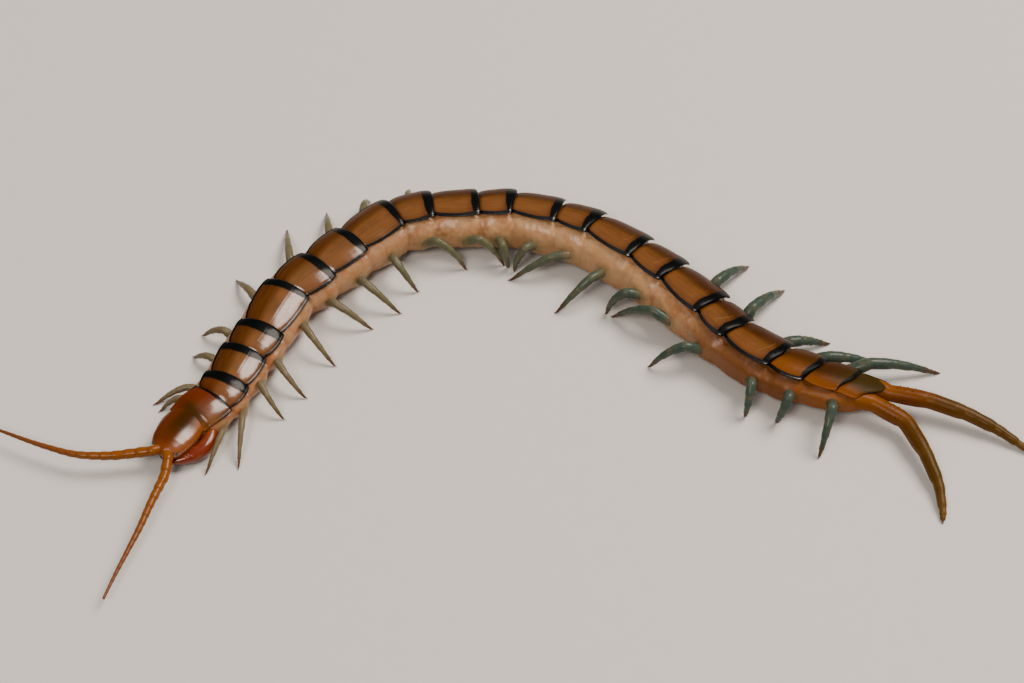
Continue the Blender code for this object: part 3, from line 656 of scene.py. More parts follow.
def plate_paint(wire):
    order, side, hind = wire.mark("order"), wire.mark("side"), wire.mark("hind")
    fore, inset = wire.mark("fore"), wire.mark("inset")
    cloud, fleck = wire.grain(2.2), wire.grain(0.28, 4.0)
    fibre, coarse = wire.streaks(side, fore, order, 34.0), wire.streaks(side, fore, order, 9.0)
    tilted = order.rise(7.5, 10.5)
    # Amber with darker streaks, golden down the middle, shaded on the side away from the light.
    colour = wire.mix(0.50 + 0.50 * coarse.rise(0.35, 0.65), AMBER_DEEP, AMBER)
    glow = side.rise(-0.34, -0.24) * side.rise(1.05, 0.62) * hind.rise(0.9, 1.6)
    glow = glow * (0.48 + 0.30 * fibre.rise(0.35, 0.70)) * (1 - 0.35 * order.rise(11.0, 14.0))
    colour = wire.mix(glow, colour, AMBER_GOLD)
    shade = side.rise(0.02, -0.22) * (1 - tilted) + side.rise(0.30, -0.10) * tilted
    shade = shade * (0.42 + 0.44 * tilted + 0.25 * fibre) + side.rise(-0.4, -0.9) * 0.15
    colour = wire.mix(shade, colour, AMBER_DEEP)
    blot = (1 - abs(side - 0.08).rise(0.08, 0.50)) * fore.rise(1.0, 2.4) * hind.rise(0.9, 2.0)
    blot = blot * cloud.rise(0.35, 0.62) * order.rise(1.5, 2.5) * 0.42
    colour = wire.mix(blot, colour, PLATE_DUSK)
    # A thin golden arc of painted reflection in front of the band on the rear plates, and the darker
    # rim of the amber.
    bend = abs(hind - 1.75 - 1.6 * side * side)
    # painted reflection: a thin golden arc in front of the band on plates 14 to 18
    reflected_arc = (1 - bend.rise(0.0, 0.12)) * side.rise(-0.15, 0.0) * side.rise(0.62, 0.5)
    reflected_arc = reflected_arc * order.rise(13.6, 14.4) * order.rise(18.6, 18.4) * 0.24 * cloud.rise(0.3, 0.6)
    colour = wire.mix(reflected_arc, colour, ARC_REFLECTION_GOLD)
    edge = hind.rise(2.1, 0.9) * 0.45 + inset.rise(0.95, 0.20) * 0.45 + fore.rise(1.1, 0.3) * 0.4
    colour = wire.mix(edge * (0.4 + 0.9 * coarse) * order.rise(2.0, 4.0), colour, AMBER_DEEP)
    # The first plate is red, the last three orange, browner away from the light.
    red = order.rise(2.5, 1.2)
    colour = wire.mix(red * (0.75 + 0.2 * coarse) * side.rise(1.0, 0.1), colour, PLATE_RED)
    warm = order.rise(18.5, 19.2)
    colour = wire.mix(warm * (0.80 + 0.2 * cloud), colour, PLATE_ORANGE)
    seam = (1 - abs(abs(side) - SEAM_AT).rise(0.0, 0.03)) * order.rise(1.5, 3.0) * 0.30
    colour = wire.mix(seam, colour, AMBER_DEEP)
    brown = warm * (side - 0.3 * order.rise(19.3, 19.8)).rise(0.62, -0.12) * 0.92
    colour = wire.mix(brown, colour, PLATE_BROWN)
    smudge = order.rise(18.6, 19.6) * hind.rise(2.4, 0.9) * side.rise(1.0, -0.2) * 0.8
    smudge = order.rise(20.4, 20.9) * side.rise(0.75, 0.15) + smudge
    colour = wire.mix(smudge * 0.9, colour, OLIVE)
    first = order.rise(1.4, 1.1) * fore.rise(2.6, 0.8) * abs(side).rise(0.9, 0.2)
    colour = wire.mix(first * 0.8, colour, OLIVE)
    # The blue-black hind band, thin side margins, and the front lip, a painted shadow along the front
    # edge under the plate before.
    depth = 0.98 + 0.26 * fleck + 0.25 * cloud - 0.34 * side.rise(0.35, 1.0) - 0.12 * tilted
    depth = depth - 0.75 * order.rise(1.6, 1.2)
    depth = depth - 0.32 * order.rise(18.3, 19.0) - 0.28 * order.rise(19.5, 20.0)
    band = (depth - hind).rise(-0.11, 0.07) * order.rise(20.6, 20.4)
    margin = 0.27 + 0.11 * tilted - inset + 0.12 * fleck + 0.10 * hind.rise(3.5, 0.5)
    margin = margin.rise(-0.03, 0.05) * order.rise(19.8, 19.2)
    margin = margin * (order.rise(1.6, 2.2) + hind.rise(2.0, 0.8) * 0.8).at_most(1.0)
    # painted shadow along the front edge, where the plate before laps over it
    lip = fore.rise(0.42, 0.22) * order.rise(1.5, 2.0) * 0.8
    dark = 1 - (1 - band) * (1 - margin) * (1 - lip)
    colour = wire.mix(dark, colour, BAND_BLACK)
    # Glassy on the side of the light, duller in the band and at the tail.
    rough = 0.28 + 0.12 * fibre - 0.06 * dark + 0.14 * order.rise(18.4, 19.6)
    relief = wire.grain(0.20) * 0.014 + wire.grain(0.5, 2.0) * 0.008 + fibre * 0.008
    coat = (side - 0.30 * tilted).rise(-0.35, 0.25) * (1 - 0.93 * order.rise(17.6, 18.8))
    coat = coat * (0.35 + 0.65 * (inset.rise(0.15, 0.5) + order.rise(4.5, 7.0)).at_most(1.0))
    coat = coat * (1 - order.rise(1.6, 1.2) * fore.rise(1.7, 0.9))
    brushed = (0.16 + 1.10 * coarse + 0.55 * fibre).at_most(1.0)
    coat = coat * brushed * (0.55 + 0.45 * order.rise(9.0, 6.0)) * (1 - 0.80 * band)
    coat = coat + margin * side.rise(0.5, 0.9) * order.rise(7.5, 9.0) * hind.rise(4.0, 1.5) * 0.5
    return colour, rough, relief, coat


amber = finish("amber_cuticle", plate_paint, coat_rough=0.17, gloss=0.05, wax=1.60)
for part in range(7):
    three = [back_plate(n, amber) for n in range(3 * part + 1, 3 * part + 4)]
    plates = joined("back_plates_%d" % (part + 1), three)
    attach(plates, "root")

# The belly plates: flat, pale, nearly square shields under the trunk, one to a segment, each
# with two fine seams. They are set into the belly skin and clear the floor.
BELLY_THICK = 0.10
BELLY_SAG = 0.07
BELLY_SEAM = 0.03
BELLY_COLOUR = (0.22, 0.115, 0.035)


def belly_plate(number, surface):
    """One belly plate as a closed slab."""
    k = number - 1
    q, u = np.meshgrid(np.linspace(-1, 1, 31), np.linspace(0, 1, 22))
    corner = 1 - 0.10 * hump(u, 0, 0.12) - 0.14 * hump(u, 1, 0.10)
    at = k + 0.05 + (0.90 if number < 21 else 0.40) * u
    half = (ramp(KEEL, at) - 0.25) * corner
    depth = ramp(DEPTH, at)
    sag = -BELLY_SAG * (1 - q ** 6) * smooth(u, 0, 0.08) * smooth(-u, -1, -0.92)
    groove = BELLY_SEAM * hump(np.abs(q), 0.42, 0.03)
    low = body_point(at, half * q, (RIM - 1) * depth + sag + groove)
    high = body_point(at, half * q * 0.98, (RIM - 1) * depth + BELLY_THICK)
    rows = np.concatenate([low, high[:, ::-1]], 1)
    marks = {"share": np.concatenate([u, u], 1), "order": np.float64(number)}
    return shell("belly_plate_%02d" % number, rows, marks, surface)


def belly_paint(wire):
    order, share = wire.mark("order"), wire.mark("share")
    cloud = wire.grain(1.8)
    colour = wire.mix(cloud, BELLY_COLOUR, tuple(0.7 * c for c in BELLY_COLOUR))
    colour = wire.mix(order.rise(17.5, 20.0), colour, PLATE_ORANGE)
    colour = wire.mix(share.rise(0.86, 1.0) * 0.5, colour, OLIVE)
    return colour, 0.28 + 0.1 * cloud, wire.grain(0.3) * 0.012


belly = finish("belly_cuticle", belly_paint, coat=0.5)
belly_plates = joined("belly_plates", [belly_plate(n, belly) for n in range(1, 22)])
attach(belly_plates, "root")

# The walking legs: jointed tubes of thin, glassy cuticle over green-grey flesh. Each starts as
# a soft boss on the flank, then has five articles that narrow to a dark curved claw. They are
# grey-olive in front and turn teal toward the tail.

# the articles' shares of a leg's length, and of its bend that has been made before each
ARTICLES = (0.26, 0.24, 0.22, 0.18, 0.10)
BENDS = (0.0, 0.60, 0.80, 0.93, 1.0)
# by pair, near and far side: size of a leg over LEG_SHAPE; by pair: radius of the hip boss
LEG_SIZE = {1: ((1, 0.74), (3, 0.86), (6, 0.98), (14, 1.08), (17, 1.15), (20, 1.20)),
            -1: ((1, 0.78), (6, 1.0), (14, 1.1), (16, 1.36), (20, 1.42))}
COXA_RADIUS = ((1, 0.72), (5, 0.85), (20, 0.85))
# radius at the start, the fullest place and the end of each article
LEG_SHAPE = ((0.60, 0.63, 0.565), (0.56, 0.545, 0.465), (0.46, 0.43, 0.345), (0.34, 0.305, 0.225),
             (0.22, 0.175, 0.10))
LEG_AROUND = 20
LEG_CORNER = 0.32
# the part of a leg that lies in the flank: places inward from its start, radii over the boss's
ROOT_RUN = (1.5, 1.08, 0.72, 0.48, 0.3, 0.15)
ROOT_GIRTH = (1.12, 1.12, 1.06, 0.96, 0.84, 0.72)
LEG_START = 0.15
CLAW_BASE = 0.16
STRAIGHTEST = 0.992
FULLEST_BEND = math.radians(200)
SIDE_NAMES = {1: "left", -1: "right"}
LEG_FRONT = (0.138, 0.108, 0.060)
LEG_MIDDLE = (0.092, 0.095, 0.052)
LEG_REAR = (0.036, 0.062, 0.048)
LEG_ROOT = (0.29, 0.170, 0.070)
LEG_TIP = (0.075, 0.026, 0.012)
LEG_CLOUD = (0.15, 0.12, 0.06)
LEG_ROOT_SHADOW = (0.035, 0.030, 0.014)
LEG_JOINT = (0.20, 0.17, 0.10)


def chain(total, reach):
    """Joints of a leg along and off the line from hip to foot, bent so that it spans it."""
    def lay(bend, start):
        """The joints with this much bend in all, from this heading."""
        points = [(0.0, 0.0)]
        for share, part in zip(ARTICLES, BENDS):
            angle = start - bend * part
            points.append((points[-1][0] + share * total * math.cos(angle),
                           points[-1][1] + share * total * math.sin(angle)))
        return points

    low, high = 0.0, FULLEST_BEND
    for halving in range(40):
        bend = (low + high) / 2
        if math.hypot(*lay(bend, 0.0)[-1]) > min(reach, total * STRAIGHTEST):
            low = bend
        else:
            high = bend
    end = lay(low, 0.0)[-1]
    return lay(low, -math.atan2(end[1], end[0]))


def tube_rows(path, radii, around, first):
    """Rings round a path, turned as little as may be from each to the next."""
    path = np.asarray(path, float)
    along_path = np.gradient(path, axis=0)
    along_path /= np.linalg.norm(along_path, axis=1, keepdims=True)
    side = np.cross(along_path[0], first)
    side /= np.linalg.norm(side)
    turns = np.linspace(0, 2 * math.pi, around, endpoint=False)
    rows = []
    for point, ahead, radius in zip(path, along_path, radii):
        side = side - ahead * (side @ ahead)
        side /= np.linalg.norm(side)
        over = np.cross(side, ahead)
        rows.append(point + radius * (np.cos(turns)[:, None] * side + np.sin(turns)[:, None] * over))
    return np.array(rows)


def rounded(corners, reach):
    """Path through corners with each inner corner cut off round; also each point's article."""
    path, article, share = [], [], []
    last = len(corners) - 2
    for i in range(last + 1):
        a, b = corners[i], corners[i + 1]
        cut = min(reach / np.linalg.norm(b - a), 0.3)
        for t in np.linspace(0.0 if i == 0 else cut, 1.0 if i == last else 1 - cut, 15):
            path.append(a + (b - a) * t)
            article.append(i)
            share.append(t)
        if i < last:
            c = corners[i + 2]
            before = path[-1]
            after = b + (c - b) * min(reach / np.linalg.norm(c - b), 0.3)
            for t in (0.17, 0.33, 0.5, 0.67, 0.83):
                path.append((1 - t) ** 2 * before + 2 * t * (1 - t) * b + t ** 2 * after)
                article.append(i if t < 0.5 else i + 1)
                share.append(1.0 if t < 0.5 else 0.0)
    return np.array(path), np.array(article), np.array(share)


def travelled(path):
    """Way gone along a path at each of its points."""
    return np.cumsum(np.concatenate([[0], np.linalg.norm(np.diff(path, axis=0), axis=1)]))


def leg_girth(article, share, shape):
    """Radius along jointed articles: swollen past the middle, pinched at each joint."""
    start, full, end = np.array(shape)[article].T
    first = start + (full - start) * smooth(share, 0.0, 0.45)
    radius = np.where(share < 0.62, first, full + (end - full) * smooth(share, 0.62, 1.0))
    lip = 0.006 * hump(share, 0.93, 0.05) - 0.009 * hump(share, 1.0, 0.03)
    lip -= 0.005 * hump(share, 0.0, 0.03)
    return radius * (1 + lip / 0.45)


def leg_end(path, radii):
    """Where a leg ends, the way that it points there and its radius."""
    ahead = path[-1] - path[-4]
    return path[-1], ahead / np.linalg.norm(ahead), radii[-1]


def walking_leg(pair, side, surface):
    """One leg from inside the flank to its last article, and the place and way of its claw."""
    centre, level, tail = HIPS[pair, side]
    back, out, lean, slack = leg_row(pair, side)[1:]
    start = centre - level * LEG_START
    foot = centre + tail * back + level * out
    foot[2] = 0.0
    reach = np.linalg.norm(foot - start)
    chord = (foot - start) / reach
    tilt = math.radians(lean)
    arch = (np.array((0.0, -1.0, 0.0)) if side > 0 else level) * math.sin(tilt)
    arch = arch + skyward * math.cos(tilt)
    arch -= chord * (arch @ chord)
    arch /= np.linalg.norm(arch)
    corners = [start + chord * a + arch * b for a, b in chain(slack * reach, reach)]
    corners[-1][2] = CLAW_BASE
    path, article, share = rounded(corners, LEG_CORNER)
    radii = leg_girth(article, share, LEG_SHAPE) * ramp(LEG_SIZE[side], pair)
    path = np.vstack([[start - level * run for run in ROOT_RUN], path])
    radii = np.concatenate([ramp(COXA_RADIUS, pair) * np.array(ROOT_GIRTH), radii])
    way = travelled(path)
    begun = way[len(ROOT_RUN) - 1]
    to_joint = np.concatenate([np.full(len(ROOT_RUN), 0.5), np.minimum(share, 1 - share)])
    marks = {"order": np.float64(pair), "reach": ((way - begun) / (way[-1] - begun))[:, None],
             "to_joint": to_joint[:, None]}
    name = "leg_%s_%02d" % (SIDE_NAMES[side], pair)
    piece = shell(name + "_cuticle", tube_rows(path, radii, LEG_AROUND, skyward), marks, surface)
    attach(piece, "root")
    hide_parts(name)
    return leg_end(path, radii)


def leg_paint(wire):
    order, reach, to_joint = wire.mark("order"), wire.mark("reach"), wire.mark("to_joint")
    cloud, fleck = wire.grain(1.3), wire.grain(0.3, 3.0)
    colour = wire.mix(order.rise(4.0, 9.5), LEG_FRONT, LEG_MIDDLE)
    colour = wire.mix(order.rise(9.0, 17.0), colour, LEG_REAR)
    colour = wire.mix(cloud.rise(0.4, 0.75) * 0.35, colour, LEG_CLOUD)
    root = 0.9 - 0.35 * order.rise(12.0, 15.0) - 0.5 * order.rise(16.0, 18.0)
    colour = wire.mix(reach.rise(0.17, -0.12) * root, colour, LEG_ROOT)
    colour = wire.mix(reach.rise(0.70, 0.97) * 0.85, colour, LEG_TIP)
    # painted shadow where the hind legs come out from under the flank
    root_shadow = reach.rise(0.10, -0.05) * order.rise(16.5, 18.5) * 0.8
    colour = wire.mix(root_shadow, colour, LEG_ROOT_SHADOW)
    ring = to_joint.rise(0.03, 0.0) * reach.rise(0.05, 0.15) * 0.08
    colour = wire.mix(ring, colour, LEG_JOINT)
    return colour, 0.24 + 0.1 * fleck, fleck * 0.012 + cloud * 0.01


green = finish("green_cuticle", leg_paint, coat=0.22, coat_rough=0.20, under=0.15,
               under_colour=(0.5, 0.6, 0.4), gloss=0.08)
feet = [walking_leg(pair, side, green) for side in (1, -1) for pair in range(1, 21)]

# The claws. Each walking leg ends in one hooked point of dark brown, horn-hard cuticle that grips
# the ground; it grows out of the last article and is set a little way into it here.
CLAW_RUN = 0.341
CLAW_BROWN = (0.11, 0.045, 0.02)
CLAW_DARK = (0.030, 0.012, 0.006)


def claw(base, ahead, radius, surface):
    """Curved, pointed claw that touches the floor with its tip."""
    steps = np.linspace(0, 1, 9)
    level = np.array((ahead[0], ahead[1], 0.0))
    level /= np.linalg.norm(level) + 1e-9
    drop = base[2] - 0.015
    path = [base - ahead * 0.06 + ahead * 0.2 * t * (1 - t) + level * CLAW_RUN * t
            + skyward * (0.10 * math.sin(math.pi * t) - drop * t ** 1.6) for t in steps]
    radii = radius * 0.95 * (1 - steps ** 1.4) + 0.012
    return shell("claw", tube_rows(path, radii, 12, skyward), {"share": steps[:, None]}, surface)


def claw_paint(wire):
    colour = wire.mix(wire.mark("share").rise(0.0, 0.7), CLAW_BROWN, CLAW_DARK)
    return colour, 0.2 + 0.1 * wire.grain(0.3), None


horn = finish("claw_horn", claw_paint, coat=0.6)
claws = joined("claws", [claw(*foot, horn) for foot in feet])
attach(claws, "root")

# The last legs: the hindmost pair, nearly twice as stout as the others, stretched out behind.
# They are smooth orange cuticle that turns olive toward the tips, with small dark spines on the
# first article, and start from two big bosses under the last back plate.

# each row: length of an article, its heading in degrees, the height of its end
LAST_LEFT = ((4.4, -31, 2.3), (5.3, -67, 2.0), (4.7, -74, 1.3), (3.7, -87, 0.5), (1.3, -97, 0.0))
LAST_RIGHT = ((5.3, -13, 2.6), (5.1, -21, 2.1), (4.2, -28, 1.4), (3.4, -35, 0.7), (2.8, -40, 0.0))
LAST_SHAPE = ((1.10, 1.16, 1.09), (1.09, 1.05, 0.92), (0.92, 0.86, 0.71), (0.71, 0.61, 0.47),
              (0.47, 0.37, 0.16))
LAST_AROUND = 32
LAST_CORNER = 0.75
LAST_HIP_AT = 20.9
# by side: how far left of, over and behind the midline's point there a boss ends
LAST_HIPS = {1: (1.1, 0.0, 0.2), -1: (-1.7, 0.2, 0.7)}
# radius of the boss inside the trunk, half way out and at the leg
BOSS_GIRTH = (0.9, 1.26, 1.15)
LAST_ORANGE = (0.128, 0.037, 0.002)
LAST_OLIVE = (0.085, 0.041, 0.004)
LAST_TIP = (0.115, 0.060, 0.013)
LAST_JOINT = (0.20, 0.09, 0.02)
SPINES = 10
SPINE_LENGTH = 0.30
SPINE_RADIUS = 0.085


def last_hip(side):
    """End of the boss that carries a last leg, and the way back from it."""
    out, over, back = LAST_HIPS[side]
    level = along(tail_at, LAST_HIP_AT)
    centre = (along(line_at, LAST_HIP_AT) + along(left_at, LAST_HIP_AT) * out
              + along(up_at, LAST_HIP_AT) * over)
    return centre + level * back, level


def last_paint(wire):
    reach, to_joint, over = wire.mark("reach"), wire.mark("to_joint"), wire.mark("over")
    cloud, fibre = wire.grain(2.0), wire.grain(0.7, 3.0)
    colour = wire.mix(reach.rise(0.10, 0.62) * 0.8 + (cloud - 0.5) * 0.4, LAST_ORANGE, LAST_OLIVE)
    colour = wire.mix(reach.rise(0.14, 0.0) * 0.8, colour, SKIN_AMBER)
    colour = wire.mix(over.rise(0.2, 0.95) * reach.rise(0.2, 0.35) * 0.45, colour, OLIVE)
    colour = wire.mix(reach.rise(0.72, 0.98) * 0.8, colour, LAST_TIP)
    ring = to_joint.rise(0.035, 0.0) * reach.rise(0.02, 0.05) * 0.10
    colour = wire.mix(ring, colour, LAST_JOINT)
    return colour, 0.26 + 0.14 * fibre, fibre * 0.05 + wire.grain(0.25) * 0.012


last_cuticle = finish("last_leg_cuticle", last_paint, coat=0.10, coat_rough=0.26, gloss=0.06)
last_feet = []
spines = []
for side, stretch in ((1, LAST_LEFT), (-1, LAST_RIGHT)):
    centre, level = last_hip(side)
    corners = [centre + level * 0.3]
    for length, heading, height in stretch:
        drop = corners[-1][2] - height
        end = corners[-1] + flat(heading) * math.sqrt(length ** 2 - drop ** 2)
        end[2] = height
        corners.append(end)
    corners[-1][2] = 0.2
    path, article, share = rounded(corners, LAST_CORNER)
    hollow = body_point(19.7, side * 1.5, -0.50)
    root = curve_through([hollow, (hollow + centre) / 2 + skyward * 0.16, centre - level * 0.1], 8)
    root_girth = curve_through([[girth] for girth in BOSS_GIRTH], 8)[:, 0]
    radii = np.concatenate([root_girth, leg_girth(article, share, LAST_SHAPE)])
    path = np.vstack([root, path])
    way = travelled(path)
    rows = tube_rows(path, radii, LAST_AROUND, skyward)
    over = (rows[..., 2] - path[:, None, 2]) / radii[:, None]
    begun = way[len(root) - 1]
    to_joint = np.concatenate([np.full(len(root), 0.5), np.minimum(share, 1 - share)])
    marks = {"reach": ((way - begun) / (way[-1] - begun))[:, None], "over": over,
             "to_joint": to_joint[:, None]}
    name = "leg_%s_21" % SIDE_NAMES[side]
    leg = shell(name + "_cuticle", rows, marks, last_cuticle)
    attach(leg, "root")
    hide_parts(name)
    last_feet.append(leg_end(path, radii))
    for i in range(SPINES):
        row = len(root) + 3 + int(i * 1.1)
        column = int(LAST_AROUND * (0.14 + 0.12 * (i % 3) + (0.0 if side > 0 else 0.12)))
        spot = rows[row, column]
        out = (spot - path[row]) / np.linalg.norm(spot - path[row])
        lean = out * 0.8 + (path[row + 1] - path[row]) * 0.6
        steps = np.linspace(0, 1, 5)
        spine = tube_rows([spot - out * 0.08 + lean * SPINE_LENGTH * t for t in steps],
                          SPINE_RADIUS * (1 - steps) + 0.012, 8, level)
        spines.append(shell("spine", spine, {"share": steps[:, None]}, horn))

last_points = [claw(*foot, horn) for foot in last_feet]
last_claws = joined("last_leg_claws", last_points + spines)
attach(last_claws, "root")

# The head: a domed, nearly round shield of glossy red-brown cuticle over a broad plate that
# carries the fangs, with its hind edge lapped over the first back plate.
HEAD_RED = (0.095, 0.020, 0.001)
HEAD_ORANGE = (0.235, 0.062, 0.006)
HEAD_OLIVE = (0.032, 0.013, 0.001)
HEAD_RIM = 0.50
HEAD_THICK = 0.22
# segments in front of the neck, half width, height of the crown over the rim
HEAD_OUTLINE = ((-0.19, 0.80, 1.24), (-0.17, 1.45, 1.19), (-0.13, 2.02, 1.13), (-0.06, 2.42, 1.10),
                (0.05, 2.60, 1.12), (0.2, 2.67, 1.16), (0.35, 2.69, 1.20), (0.5, 2.63, 1.21),
                (0.65, 2.46, 1.17), (0.78, 2.16, 1.06), (0.86, 1.86, 0.94), (0.92, 1.52, 0.76),
                (0.96, 1.18, 0.56), (0.99, 0.85, 0.37), (1.005, 0.45, 0.22))


def dome_share(q):
    """Height of the head's cross-section at q across: gently sloped, round at the rim."""
    q = np.abs(q)
    return (1 - 0.60 * q ** 1.8) * (1 - q ** 9) ** 0.5


def head_spot(u, q):
    """Point of the head's dome at u from the neck and q across."""
    half, crown = ramp(HEAD_OUTLINE, u), ramp(HEAD_OUTLINE, u, 2)
    over = HEAD_RIM + crown * dome_share(q)
    return body_point(-u, half * np.sign(q) * np.abs(q) ** 0.9, over)


u, q = np.meshgrid(np.linspace(HEAD_OUTLINE[0][0], HEAD_OUTLINE[-1][0], 70), np.linspace(-1, 1, 61),
                   indexing="ij")
dome = head_spot(u, q)
# The shield's flat underside: the same spots, brought down by the height of the dome there.
u_low, q_low = u[:, ::2], q[:, ::-2]
height = ramp(HEAD_OUTLINE, u_low, 2) * dome_share(q_low * 0.97)
rim_low = head_spot(u_low, q_low * 0.97) - along(up_at, -u_low) * (height + HEAD_THICK)[..., None]
marks = {"share": np.concatenate([u, u_low], 1), "side": np.concatenate([q, q_low], 1)}


def head_paint(wire):
    share, side = wire.mark("share"), wire.mark("side")
    cloud = wire.grain(1.6)
    # orange toward the front is the shield's own colour; the orange over the near side, toward the
    # light, is painted light
    orange_and_painted_light = side.rise(-0.1, 0.85) * 0.8 + share.rise(0.7, 1.0) * 0.6
    colour = wire.mix(orange_and_painted_light, HEAD_RED, HEAD_ORANGE)
    colour = wire.mix(wire.grain(0.5, 2.0).rise(0.45, 0.7) * 0.3, colour, HEAD_RED)
    smudge = share.rise(0.85, 0.25) * (1 - abs(side - 0.05).rise(0.15, 0.72))
    colour = wire.mix(smudge * (0.6 + 0.5 * cloud), colour, HEAD_OLIVE)
    coat = (0.06 + 0.94 * side.rise(0.06, 0.40)) * (0.10 + 0.90 * share.rise(0.12, 0.42))
    return colour, 0.24 + 0.12 * cloud, wire.grain(0.22) * 0.016 + cloud * 0.02, coat


head_cuticle = finish("head_cuticle", head_paint, coat_rough=0.22, gloss=0.05, wax=1.62)
head_dome = shell("head_shield", np.concatenate([dome, rim_low], 1), marks, head_cuticle)
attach(head_dome, "root")
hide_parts("head")

# What lies under the head shield: the broad plate of red-brown cuticle that the fangs swing on,
# with two small toothed lobes in front, and the face between it and the shield.

# each row: segments in front of the neck, half width, lowest level
FANG_PLATE = ((0.0, 1.75, -1.45), (0.1, 1.98, -1.62), (0.25, 2.12, -1.72), (0.42, 1.98, -1.70),
              (0.55, 1.55, -1.55), (0.64, 1.05, -1.30))
FACE = ((0.0, 2.30, -0.30), (0.15, 2.58, -0.40), (0.3, 2.66, -0.46), (0.5, 2.58, -0.50),
        (0.65, 2.38, -0.50), (0.8, 1.98, -0.45), (0.9, 1.55, -0.35), (0.97, 0.95, -0.10))
FANG_PLATE_TOP = -0.25
FACE_TOP = 0.36
SLAB_AROUND = 36
TEETH_AT = -0.63
TEETH = 4
JAW_ORANGE = (0.20, 0.050, 0.006)
JAW_RED = (0.13, 0.026, 0.002)


def slab(name, table, top, surface):
    """Rounded body under the head, from rings of half width between its top and lowest level."""
    places = np.linspace(table[0][0], table[-1][0], 24)
    turns = np.linspace(0, 2 * math.pi, SLAB_AROUND, endpoint=False)
    a, b = np.cos(turns), np.sin(turns)
    half, low = ramp(table, places)[:, None], ramp(table, places, 2)[:, None]
    rows = body_point(-places[:, None], half * np.sign(a) * np.abs(a) ** 0.7,
                      (top + low) / 2 + (top - low) / 2 * np.sign(b) * np.abs(b) ** 0.7)
    return shell(name, rows, {"share": places[:, None]}, surface)


def fang_plate_paint(wire):
    cloud = wire.grain(1.2)
    return wire.mix(cloud, JAW_ORANGE, JAW_RED), 0.25 + 0.1 * cloud, wire.grain(0.3) * 0.012


fang_plate_cuticle = finish("fang_plate_cuticle", fang_plate_paint, coat=0.4, gloss=0.2)
under_parts = [slab("fang_plate", FANG_PLATE, FANG_PLATE_TOP, fang_plate_cuticle),
               slab("face", FACE, FACE_TOP, fang_plate_cuticle)]
for side in (1, -1):
    for i in range(TEETH):
        base = body_point(TEETH_AT, side * (0.18 + 0.2 * i), -1.25)
        way = -along(tail_at, TEETH_AT)
        steps = np.linspace(0, 1, 5)
        tooth = tube_rows([base + way * (0.3 * t - 0.1) for t in steps], 0.1 * (1 - 0.7 * steps),
                          8, skyward)
        under_parts.append(shell("tooth", tooth, {"share": steps[:, None]}, horn))
under_head = joined("fang_plate_and_face", under_parts)
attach(under_head, "root")

# The eyes: four small, single, glassy black lenses on each side of the head shield, set in its
# cuticle just behind the feelers.

# each row: segments in front of the neck, share of the half width, radius
EYES = ((0.875, 0.82, 0.14), (0.825, 0.90, 0.14), (0.91, 0.90, 0.13), (0.86, 0.965, 0.12))
EYE_BLACK = (0.004, 0.004, 0.006)
EYE_BROWN = (0.012, 0.008, 0.006)


def eye_paint(wire):
    return wire.mix(wire.grain(0.2), EYE_BLACK, EYE_BROWN), 0.06, None


eye_bead = finish("eye_bead", eye_paint, coat=1.0, coat_rough=0.03)
beads = []
for side in (1, -1):
    for place, across_head, radius in EYES:
        centre = head_spot(np.float64(place), np.float64(side * across_head))
        turns = np.linspace(-math.pi / 2, math.pi / 2, 13)
        rings = [centre + skyward * radius * math.sin(t) for t in turns]
        rows = tube_rows(rings, radius * np.cos(turns) + 0.002, 18, np.array((1.0, 0.0, 0.0)))
        beads.append(shell("bead", rows, {}, eye_bead))
eyes = joined("eyes", beads)
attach(eyes, "root")

# The fangs: the first pair of legs turned into hollow poison claws of hard cuticle. Each has a
# stout red shoulder article, a narrow ring and a long hook that ends black under the head's front.

# places behind, outward of and over the root, and the radius there
FANG_RUN = ((1.0, -1.0, 0.1, 0.70), (-0.6, -0.55, 0.1, 0.90), (-1.7, 0.15, 0.18, 0.92),
            (-1.9, 0.85, 0.20, 0.94), (-0.95, 1.40, 0.10, 1.02), (0.4, 1.50, 0.0, 1.05),
            (1.9, 1.05, -0.10, 0.96), (2.65, 0.66, -0.16, 0.82), (3.2, 0.28, -0.2, 0.68),
            (4.0, -0.4, -0.25, 0.44), (4.4, -0.85, -0.28, 0.28), (4.62, -1.2, -0.3, 0.09))
FANG_AT = -0.22
FANG_OUT = 2.15
FANG_UNDER = 0.60
# the right fang is folded in, hidden by the head
RIGHT_TUCK = 1.5
# places of the rings between its articles, as shares of its run
FANG_RINGS = (0.22, 0.62, 0.675)
FANG_RED = (0.145, 0.015, 0.001)
FANG_ORANGE = (0.205, 0.050, 0.008)
FANG_POINT = (0.006, 0.004, 0.003)


def fang_path(side):
    """Path of a fang from inside its shoulder to its point, and its radii."""
    tail, left, up = along(tail_at, FANG_AT), along(left_at, FANG_AT), along(up_at, FANG_AT)
    root = along(line_at, FANG_AT) + left * side * FANG_OUT - up * FANG_UNDER
    tuck = 0.0 if side > 0 else RIGHT_TUCK
    corners = [[*(root - tail * a + left * side * (b - tuck) + up * c), radius]
               for a, b, c, radius in FANG_RUN]
    run = curve_through(corners, 8)
    return run[:, :3], run[:, 3]


def fang_paint(wire):
    share = wire.mark("share")
    cloud = wire.grain(0.9)
    colour = wire.mix(share.rise(0.2, 0.5), FANG_ORANGE, FANG_RED)
    colour = wire.mix(cloud.rise(0.4, 0.7) * 0.3, colour, FANG_ORANGE)
    colour = wire.mix(share.rise(0.84, 0.95), colour, FANG_POINT)
    return colour, 0.18 + 0.1 * cloud, cloud * 0.02


